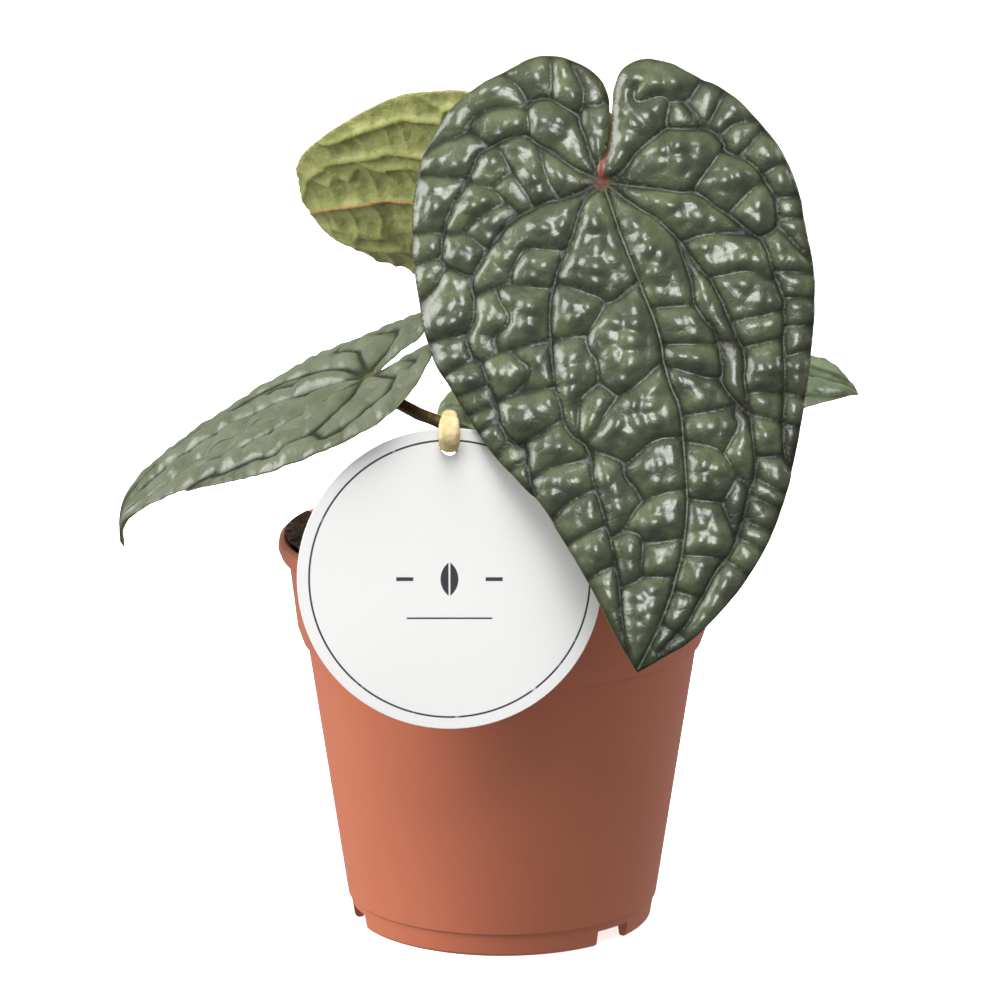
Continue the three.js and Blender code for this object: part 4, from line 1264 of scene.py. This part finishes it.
@dataclass
class PottingSoil:
    """Damp peat and coconut fibre, heaped to the rim on the left, with crumbs and loose fibres."""

    level: float = 102.0
    floor: float = 6.5
    floor_radius: float = 40.5
    wall_radius: float = 51.0
    wall_height: float = 76.5
    collar_radius: float = 53.7
    collar_height: float = 81.5
    top_radius: float = 55.7
    spill: float = 2.3            # how far the heap laps over the rim
    lap_height: float = 106.9     # the least height of the heap where it laps over
    open_height: float = 106.2    # above this no wall stands beside what is scattered
    heap: float = 5.2
    heap_heading: float = 188.0
    sides: int = 160
    rings: int = 62
    crumb_count: int = 900
    crumb_size: float = 0.9
    crumb_clear: float = 1.2      # how far crumbs keep from the wall
    fibre_count: int = 620
    fibre_length: float = 5.5
    fibre_radius: float = 0.09
    fibre_clear: float = 4.5      # how far fibres keep from the wall
    peat: Fibrous = Fibrous("damp_peat", "#33241a", "#5c4532", 3.0, 0.6, 0.3)
    crumb: Fibrous = Fibrous("peat_crumb", "#3a2a1d", "#6b523c", 2.0, 0.4, 0.15)
    coir: Fibrous = Fibrous("coconut_fibre", "#5c4830", "#94825c", 4.0, 0.3, 0.05)

    def top(self, x: np.ndarray, y: np.ndarray) -> np.ndarray:
        """The soil's height: low lumps, crumbly grain, and the heap at the left of the rim."""
        flat = np.column_stack([x, y])
        lumps = 0.9 * waves(flat, 9.0, 21) + 0.5 * waves(flat, 3.4, 22) + 0.3 * waves(flat, 1.5, 23)
        heap = self.heap * self.near(x, y) * ease(np.hypot(x, y), 34, 52)
        return self.level + lumps * 0.8 * (1 - 0.1 * heap) + heap

    def near(self, x: np.ndarray, y: np.ndarray) -> np.ndarray:
        """How near places are to the heap's heading, 1 on it and 0 far off."""
        heading = np.degrees(np.arctan2(y, x)) - self.heap_heading
        return np.exp(-(((heading + 180) % 360 - 180) / 38)**2)

    def shape(self) -> tuple[np.ndarray, list[tuple[int, ...]]]:
        """Works out the body of soil as one closed shape inside the pot.

        Returns:
            Its points, with the top's ones first, and its faces.
        """
        round_once = circle(self.sides).T
        reach = np.linspace(0, self.top_radius, self.rings + 1)[1:]
        x, y = self.top_radius * round_once
        near, edge = self.near(x, y), self.top(x, y)
        lap = np.where(near > 0.5, np.maximum(edge, self.lap_height), edge)
        profile = [(r, None) for r in reach] + [
            (self.top_radius + 0.3 + self.spill * near, lap),
            (self.top_radius + 0.1, edge - 0.5 - 0.7 * near),
            (self.collar_radius, self.collar_height), (self.wall_radius, self.wall_height),
            (self.floor_radius, self.floor)]
        points = [np.array([[0, 0, self.top(np.zeros(1), np.zeros(1))[0]]])]
        for radius, height in profile:
            x, y = radius * round_once
            z = self.top(x, y) if height is None else np.broadcast_to(height, x.shape)
            points.append(np.column_stack([x, y, z]))
        points.append(np.array([[0, 0, self.floor]]))
        faces = [face[:1] + face[:0:-1] for face in ring_faces(len(profile), self.sides)]
        return np.vstack(points), faces

    def build_body(self) -> bpy.types.Object:
        """Makes the body of soil."""
        points, faces = self.shape()
        body = mesh_object("potting_soil", place(points), faces)
        body.data.materials.append(self.peat.material())
        return body

    def ground(self, name: str, clear: float) -> bpy.types.Object:
        """Makes a sheet to scatter on: the soil's top, short of the wall except on the heap.

        Args:
            name: the sheet's name.
            clear: how far short of the wall it ends, so nothing scattered reaches through.

        Returns:
            The sheet.
        """
        points, faces = self.shape()
        fits = np.hypot(points[:, 0], points[:, 1]) < self.top_radius - clear
        fits |= points[:, 2] > self.open_height
        fits &= np.arange(len(points)) <= (self.rings + 1) * self.sides
        return mesh_object(name, place(points), [face for face in faces if fits[list(face)].all()])

    def scatter(self, litter: Litter, count: int, seed: int, finish: Fibrous) -> bpy.types.Object:
        """Scatters crumbs, or fibres that lie along the soil or stand up from it.

        Args:
            litter: what is scattered.
            count: how many, over the whole top.
            seed: fixes the draw.
            finish: what they are made of.

        Returns:
            All of them as one plain mesh.
        """
        length, clear = {
            Litter.CRUMBS: (self.crumb_size, self.crumb_clear),
            Litter.FIBRES: (self.fibre_length, self.fibre_clear)}[litter]
        sizes = {
            "Density": count / (math.pi * (self.top_radius * MM)**2), "Seed": seed,
            "Item Size": length * MM, "Item Radius": self.fibre_radius * MM}
        tree, size = geometry_tree(litter.value, sizes)
        points = add_node(tree, "DistributePointsOnFaces", distribute_method="RANDOM",
                          Mesh=size["Geometry"], Density=size["Density"], Seed=size["Seed"])
        if litter is Litter.FIBRES:
            strand = add_node(tree, "CurveQuadraticBezier", Resolution=6, Start=(-0.5, 0, -0.03),
                              Middle=(0.05, 0.22, 0.2), End=(0.5, -0.06, 0.02))
            whole = add_node(tree, "CombineXYZ", **{axis: size["Item Size"] for axis in "XYZ"})
            scaled = add_node(tree, "Transform", Geometry=strand, Scale=whole)
            ring = add_node(tree, "CurvePrimitiveCircle", Resolution=3, Radius=size["Item Radius"])
            item = add_node(tree, "CurveToMesh", Curve=scaled, Profile_Curve=ring, Fill_Caps=True)
            least, most = (-0.5, -0.9, 0.0), (0.5, 0.35, math.tau)
        else:
            ball = add_node(tree, "MeshIcoSphere", Radius=size["Item Size"], Subdivisions=1)
            dents = add_node(tree, "TexNoise", Scale=per_metre(0.8), Detail=1.0).outputs["Color"]
            pull = add_node(tree, "VectorMath", operation="SUBTRACT", Vector=dents,
                            Vector_001=(0.5, 0.5, 0.5))
            offset = add_node(tree, "VectorMath", operation="SCALE", Vector=pull, Scale=1.6 * MM)
            item = add_node(tree, "SetPosition", Geometry=ball, Offset=offset)
            least, most = (0.0, 0.0, 0.0), (math.tau, math.tau, math.tau)
        turn = add_node(tree, "RandomValue", data_type="FLOAT_VECTOR", Min=least, Max=most, Seed=seed)
        grade = add_node(tree, "RandomValue", data_type="FLOAT", Min=0.45, Max=1.5, Seed=seed + 1)
        laid = add_node(tree, "InstanceOnPoints", Points=points, Instance=item, Rotation=turn, Scale=grade)
        source = self.ground(f"{litter.value}_ground", clear)
        return grow(litter.value, source, tree, laid, finish.material(), sizes)

    def build(self) -> None:
        """Makes the soil with its crumbs and fibres and hands them to the frame."""
        settle(self.build_body(), "potting_soil", "soil")
        settle(self.scatter(Litter.CRUMBS, self.crumb_count, 31, self.crumb), "potting_soil")
        settle(self.scatter(Litter.FIBRES, self.fibre_count, 41, self.coir), "potting_soil")


def sweep(path: np.ndarray, halves: np.ndarray, sides: int, upright: tuple[float, float, float],
          base: int = 0) -> tuple[np.ndarray, list]:
    """Sweeps an oval along a path and closes both ends.

    Args:
        path: rows of x, y, z.
        halves: for each row, half the oval's width and half its thickness.
        sides: points round the oval.
        upright: the rough direction of the thickness.
        base: added to every corner number, to join several sweeps.

    Returns:
        The points and the faces.
    """
    ahead = np.gradient(path, axis=0)
    ahead /= np.linalg.norm(ahead, axis=1)[:, None]
    wide = np.cross(ahead, np.array(upright))
    wide /= np.linalg.norm(wide, axis=1)[:, None]
    thick = np.cross(wide, ahead)
    x, y = circle(sides).T
    rings = (path[:, None] + wide[:, None] * (halves[:, :1] * x)[..., None]
             + thick[:, None] * (halves[:, 1:] * y)[..., None])
    return np.vstack([path[:1], rings.reshape(-1, 3), path[-1:]]), ring_faces(len(path), sides, base)


@dataclass
class Crown:
    """The short ringed stem that the stalks spring from, with dry pointed sheaths round it."""

    radius: float = 6.8
    foot: float = 80.0
    top: float = 110.0
    ring_pitch: float = 2.6
    sheath_count: int = 3
    sides: int = 72
    bark: Fibrous = Fibrous("papery_sheath", "#4b321c", "#8a6a42", 2.4, 0.5, 0.12, 0.8, (1.0, 1.0, 0.18))

    def build(self) -> None:
        """Makes the crown and hands it to the frame."""
        heights = np.linspace(self.foot, self.top, 90)
        body = np.interp(heights, [80, 86, 92, 97, 101, 104, 107, 109.5, 110],
                         np.array([0.7, 1, 0.92, 1, 0.9, 0.96, 0.78, 0.45, 0.05]) * self.radius)
        scars = 0.22 * np.abs(np.sin(heights * math.pi / self.ring_pitch))
        path = np.column_stack([np.zeros((len(heights), 2)), heights])
        halves = np.repeat((body * 0.97 + scars - 0.1)[:, None], 2, axis=1)
        points, faces = sweep(path, halves, self.sides, (0.0, 1.0, 0.0))
        points[:, :2] *= (1 + 0.035 * waves(points, 4.0, 51))[:, None]
        parts, corners = [points], list(faces)
        for i in range(self.sheath_count):
            drawn = through(np.array([(2.4, 0, 102), (2.9, 0, 107.5), (2 + i, 0, 113 - i)], float), 0.25)
            u = np.linspace(0, 1, len(drawn))
            half = np.column_stack([2.6 * (1 - u)**0.8 + 0.15, 0.75 * (1 - u)**0.7 + 0.12])
            more, rest = sweep(drawn, half, 28, (1.0, 0.0, 0.0), sum(len(part) for part in parts))
            more[:, :2] *= (1 + 0.05 * waves(more, 1.8, 60 + i))[:, None]
            angle = math.radians(25 + i * 125)
            turn = np.array([[math.cos(angle), math.sin(angle)], [-math.sin(angle), math.cos(angle)]])
            more[:, :2] = more[:, :2] @ turn
            parts.append(more)
            corners += rest
        crown = mesh_object("crown_sheaths", place(np.vstack(parts)), corners)
        crown.data.materials.append(self.bark.material())
        settle(crown, "crown_sheath", "crown")


@dataclass
class HangTag:
    """The round white card, with a punched hole near its top edge."""

    diameter: float = 78.5
    thickness: float = 0.6
    lean: float = 4.7
    centre: tuple[float, float, float] = (-13.6, -60.2, 108.7)
    hole_radius: float = 2.2
    hole_drop: float = 4.9
    grain: float = 1.5
    clear: float = 1.2            # how far the inner points keep from both edges
    bevel: float = 0.12
    warp: float = 0.12
    card: PrintedCard = PrintedCard()

    def sheet(self) -> tuple[np.ndarray, np.ndarray, np.ndarray]:
        """Works out the flat card.

        Returns:
            Its points as rows of x, y, its triangles, and half its thickness at each point.
        """
        radius = self.diameter / 2
        hole = np.array([0.0, radius - self.hole_drop])
        rings = []
        for middle, reach, way, count in (((0, 0), radius, -1, 240), (hole, self.hole_radius, 1, 48)):
            for inset in (0.0, self.bevel, 0.5):
                rings.append(np.array(middle) + (reach + way * inset) * circle(count))
        x, y = np.meshgrid(*[np.arange(-radius, radius, self.grain)] * 2)
        cells = np.column_stack([x.ravel(), y.ravel()])
        clear = np.hypot(*cells.T) < radius - self.clear
        clear &= np.hypot(*(cells - hole).T) > self.hole_radius + self.clear
        ends = np.cumsum([0] + [len(ring) for ring in rings])
        loops = [(a + i, a + (i + 1) % (b - a)) for a, b in zip(ends, ends[1:]) for i in range(b - a)]
        flat, faces = filled(np.vstack([*rings, cells[clear]]), loops, ends[1], 1e-4)
        middles = flat[faces].mean(axis=1)
        faces = faces[np.hypot(*(middles - hole).T) > self.hole_radius]
        edge = np.minimum(radius - np.hypot(*flat.T), np.hypot(*(flat - hole).T) - self.hole_radius)
        half = self.thickness / 2 - self.bevel * (1 - ease(edge, -0.02, self.bevel))
        used = np.unique(faces)
        renumber = np.zeros(len(flat), int)
        renumber[used] = np.arange(len(used))
        return flat[used], renumber[faces], half[used]

    def build(self) -> None:
        """Makes the card and hands it to the frame."""
        flat, faces, half = self.sheet()
        warp = self.warp * waves(flat, 34.0, 71)
        upper, lower = (np.column_stack([flat, warp + side * half]) for side in (1, -1))
        points, corners = shell(upper, lower, faces)
        lean = math.radians(90 - self.lean)
        x, y, z = points.T
        stood = np.column_stack([x, y * math.cos(lean) - z * math.sin(lean),
                                 y * math.sin(lean) + z * math.cos(lean)]) + self.centre
        tag = mesh_object("hang_tag_card", place(stood), corners, smooth=False)
        side = np.repeat([1.0, -1.0], len(flat))
        keep_values(tag, {"card": np.column_stack([np.vstack([flat, flat]), side])})
        tag.data.materials.append(self.card.material())
        settle(tag, "tag_card", "hang_tag")


@dataclass
class TagTie:
    """The short cream band looped through the card's hole and round the left leaf's stalk."""

    centre: tuple[float, float, float] = (-13.6, -55.0, 146.6)
    reach: float = 5.8
    rise: float = 4.3
    thickness: float = 2.2
    width_in_hole: float = 3.8
    width_front: float = 5.4
    steps: int = 96
    band: Fibrous = Fibrous("raffia_band", "#bfa572", "#dfcc9c", 2.6, 0.35, 0.1, 0.8, (1.0, 1.0, 0.4))

    def build(self) -> None:
        """Makes the tie and hands it to the frame."""
        x, y, z = self.centre
        front, middle = place(np.array([[x, y - self.reach, z], [x, y, z]]))
        sizes = {
            "Half Thickness": self.thickness / 2 * MM, "Share In Hole": self.width_in_hole / self.thickness,
            "Share In Front": self.width_front / self.thickness, "Front": float(front[1]),
            "Back": float(middle[1]), "Middle": float(middle[0])}
        tree, size = geometry_tree("tag_tie", sizes)
        ring = add_node(tree, "CurvePrimitiveCircle", Resolution=40, Radius=size["Half Thickness"])
        loop = add_node(tree, "CurveToMesh", Curve=size["Geometry"], Profile_Curve=ring)
        spot = add_node(tree, "SeparateXYZ", Vector=add_node(tree, "InputPosition")).outputs
        share = add_node(tree, "MapRange", interpolation_type="SMOOTHSTEP", Value=spot["Y"],
                         From_Min=size["Front"], From_Max=size["Back"], To_Min=size["Share In Front"],
                         To_Max=size["Share In Hole"])
        off = add_node(tree, "Math", operation="SUBTRACT", Value=spot["X"], Value_001=size["Middle"])
        wide = add_node(tree, "Math", operation="MULTIPLY_ADD", Value=off, Value_001=share,
                        Value_002=size["Middle"])
        drawn = add_node(tree, "CombineXYZ", X=wide, Y=spot["Y"], Z=spot["Z"])
        flat = add_node(tree, "SetPosition", Geometry=loop, Position=drawn)
        back, up = circle(self.steps).T
        path = np.column_stack([np.full(self.steps, x), y - self.reach * back, z + self.rise * up])
        source = path_object("tie_path", place(path), closed=True)
        shape = roughened(tree, flat, 1.2, 0.3, 3.0)
        settle(grow("tag_tie_band", source, tree, shape, self.band.material(), sizes), "tag_tie", "tag_tie")


@dataclass
class Studio:
    """A plain pale floor, soft boxes, and the camera at the photograph's viewing angle."""

    target: tuple[float, float, float] = (-0.6, 0.0, 115.0)
    distance: float = 1.484
    elevation: float = 13.65
    lens: float = 199.7
    floor_radius: float = 9000.0
    floor_drop: float = 0.05
    floor_sides: int = 96
    floor_colour: str = "#fbfbfa"

    def build_floor(self) -> None:
        """Lays the floor just under the pot."""
        disc = circle(self.floor_sides) * self.floor_radius
        points = np.column_stack([disc, np.full(self.floor_sides, -self.floor_drop)])
        floor = mesh_object("studio_floor", place(points), [range(self.floor_sides)], smooth=False)
        made, *_ = blank_material("painted_floor", Roughness=0.9, Emission_Strength=0.8,
                                  Base_Color=self.floor_colour, Emission_Color=self.floor_colour)
        floor.data.materials.append(made)
        floor.visible_diffuse = False
        floor.visible_glossy = False

    def aim(self, name: str, data: bpy.types.ID, heading: float, height: float,
            away: float) -> bpy.types.Object:
        """Stands a light or the camera so that it faces the plant.

        Args:
            name: its name.
            data: the light or camera itself.
            heading: degrees round the pot, 0 to the right and -90 to the viewer.
            height: degrees above the floor.
            away: its distance in metres.

        Returns:
            The new object.
        """
        turn, rise = math.radians(heading), math.radians(height)
        back = Vector((math.cos(turn) * math.cos(rise), math.sin(turn) * math.cos(rise), math.sin(rise)))
        item = in_scene(name, data)
        item.location = Vector(place(np.array(self.target))) + back * away
        item.rotation_mode = "QUATERNION"
        item.rotation_quaternion = back.to_track_quat("Z", "Y")
        return item

    def build_lights(self) -> None:
        """Sets the soft boxes and the pale surround.

        The top one only lights, and the front one only shows in glossy surfaces, so that highlights
        sit on top of the quilting without flattening the shading.
        """
        boxes = {}
        for name, heading, height, away, wide, high, watts in (
                ("key_softbox", -170, 22, 1.6, 1.0, 1.4, 34), ("top_softbox", -100, 68, 1.6, 0.9, 0.9, 34),
                ("front_softbox", -82, 34, 1.7, 0.75, 0.95, 28), ("rim_softbox", 20, 20, 2.0, 0.5, 1.2, 9)):
            lamp = bpy.data.lights.new(name, "AREA")
            lamp.shape = "RECTANGLE"
            lamp.size, lamp.size_y = wide, high
            lamp.energy = watts
            boxes[name] = self.aim(name, lamp, heading, height, away)
        boxes["top_softbox"].visible_glossy = False
        boxes["front_softbox"].visible_diffuse = False
        world = bpy.data.worlds.new("studio_surround")
        world.use_nodes = True
        fill(world.node_tree, world.node_tree.nodes["Background"], {"Color": "#f4f6fa", "Strength": 0.4})
        bpy.context.scene.world = world
        bpy.context.scene.view_settings.view_transform = "Standard"

    def build_camera(self) -> None:
        """Stands the camera in front of the plant, looking slightly down."""
        camera = bpy.data.cameras.new("camera")
        camera.lens = self.lens
        camera.sensor_width = 36.0
        camera.clip_end = 100.0
        bpy.context.scene.camera = self.aim("camera", camera, -90, self.elevation, self.distance)

    def build(self) -> None:
        """Sets up the whole studio."""
        self.build_camera()
        self.build_lights()
        self.build_floor()


# The skins of the leaves. On the upper faces the dark crease colour is painted shade.

GLOSSY_GREEN = LeafSkin(
    "glossy_leaf_upper", crease_tint_and_shade="#1b1d16", pillow="#3b412e", flush="#525a3d", vein="#747b6a", net="#454b3e",
    throat="#70703a", stain="#572c1e", margin="#57532f", roughness=0.3, coat=0.7, vein_width=0.26,
    vein_strength=0.4, net_width=0.2, tile_depth=0.045, dimple_depth=0.08, wrinkle_depth=0.04,
    midrib="#7a836a", midrib_strength=0.45)
GLOSSY_UNDER = LeafSkin(
    "glossy_leaf_under", crease_tint_and_shade="#6d7742", pillow="#5e6a3c", flush="#6f7a47", vein="#9aa063", net="#87905a",
    throat="#a38a4c", stain="#8a5a3c", margin="#7f7a4a", roughness=0.5, coat=0.0, wrinkle=0.9)
OLIVE_UPPER = LeafSkin(
    "olive_leaf_upper", crease_tint_and_shade="#333a26", pillow="#556047", flush="#636e53", vein="#747e5c", net="#667050",
    throat="#80803e", stain="#6f452a", margin="#6f6a3c", roughness=0.36, coat=0.25)
OLIVE_UNDER = LeafSkin(
    "olive_leaf_under", crease_tint_and_shade="#82854c", pillow="#808548", flush="#929558", vein="#929256", net="#8a8d52",
    throat="#a98550", stain="#8f6339", margin="#7f783c", roughness=0.5, coat=0.0, wrinkle=0.9,
    wrinkle_depth=0.03, vein_width=0.6, midrib="#b08a55", midrib_strength=0.9)
# Its dark vein, net and midrib lines are painted shade: the shade of the creases along its veins.
SATIN_GREY = LeafSkin(
    "satin_leaf_upper", crease_tint_and_shade="#25291c", pillow="#4f563f", flush="#5c634e", vein="#22261a", net="#33382a",
    throat="#39401f", stain="#4f4a30", margin="#55552f", roughness=0.34, coat=0.4, midrib="#22261a",
    midrib_strength=0.6, vein_width=0.7, vein_strength=0.5, net_width=0.5, net_strength=0.3,
    tile_depth=0.04, dimple_depth=0.06, wrinkle_depth=0.04, throat_reach=6.0, fleck=0.6)
SATIN_UNDER = LeafSkin(
    "satin_leaf_under", crease_tint_and_shade="#7c8656", pillow="#77824f", flush="#8a955f", vein="#a9b07c", net="#98a06e",
    throat="#a89a5c", stain="#8a6a40", margin="#7f7a4a", roughness=0.5, coat=0.0, wrinkle=0.9)


def leaves() -> list[Leaf]:
    """The plant's four leaves, each where the solid leaf is."""
    bark = StalkSkin()
    return [
        Leaf("leaf_front", (25.6, -40, 208.6), turn=-90.3, dip=69.5, roll=1.2, slanted=True, size=1.0,
             width=1.005, bend=0.0006, tip_bend=0.0006, bend_from=60, back_bend=0.002, arch=0.004, fold=0.0,
             spread=-2.0, mirror=1, stalk_radius=1.8,
             stalk=[(5.5, -8.2, 92), (7, -7.5, 112), (9, -6, 130), (14, -3, 160), (21, -1, 195),
                    (26, -9, 217), (27.3, -22, 221.5), (26.4, -33, 216.5)],
             quilting=Quilting(height=2.7, reach=8.0, main_hold=16.0, cross_hold=7.0, fine_hold=0.5,
                               margin_hold=2.5, unevenness=0.4, seed=3),
             upper_skin=GLOSSY_GREEN, under_skin=GLOSSY_UNDER,
             stalk_skin=bark, slot="mature_leaf", grain=0.62),
        Leaf("leaf_back", (8.2, 31, 188), turn=138.2, dip=14.7, roll=48.7, size=0.778, width=1.006,
             bend=0.0009, tip_bend=-0.0194, bend_from=53.6, back_bend=0.002, arch=-0.0067, fold=-0.135,
             spread=2.0, mirror=1, stalk_radius=1.6,
             stalk=[(-5, 8.2, 92), (-4.5, 6, 112), (-3.5, 3.5, 134), (0, 12, 162), (5, 25, 181)],
             quilting=Quilting(height=1.7, reach=7.0, cross_hold=2.0, seed=13), upper_skin=OLIVE_UPPER,
             under_skin=OLIVE_UNDER, stalk_skin=bark, slot="leaf_underside"),
        Leaf("leaf_left", (-34.5, -30.7, 155.2), turn=173.6, dip=24.1, roll=-12, size=0.674, width=1.0,
             bend=0.0034, tip_bend=0.1065, bend_from=73.9, back_bend=-0.0132, arch=0.0139, fold=-0.189,
             spread=3.8, mirror=-1, stalk_radius=1.6,
             stalk=[(-3.4, -9.2, 92), (-1, -22, 108), (-1, -39, 128), (-6, -50, 142), (-13.6, -53.3, 147.2),
                    (-21, -49.5, 149.6), (-28, -41, 151.4)],
             quilting=Quilting(height=2.2, reach=7.0, cross_hold=0.9, fine_hold=0.08,
                               margin_hold=1.0, seed=23),
             upper_skin=SATIN_GREY, under_skin=SATIN_UNDER, stalk_skin=bark, slot="young_leaf"),
        Leaf("leaf_right", (7.4, 31, 140), turn=-4.4, dip=2.5, roll=26.5, size=0.709, width=1.028,
             bend=-0.0011, tip_bend=0.0735, bend_from=83.4, back_bend=0.0063, arch=0.0066, fold=0.161,
             spread=2.0, mirror=1, stalk_radius=1.6, stalk=[(9, 4, 92), (10, 13, 110), (8.5, 23, 127)],
             quilting=Quilting(height=1.9, cross_hold=1.8, seed=33), upper_skin=OLIVE_UPPER,
             under_skin=SATIN_UNDER, stalk_skin=bark, slot="young_leaf"),
    ]


def main() -> None:
    """Builds the studio and every piece in order."""
    logging.basicConfig(level=logging.INFO, format="%(name)s %(message)s")
    Studio().build()
    NurseryPot().build()
    PottingSoil().build()
    Crown().build()
    drawing = LeafDrawing()
    for leaf in leaves():
        leaf.build(drawing)
    HangTag().build()
    TagTie().build()


if __name__ == "__main__":
    main()
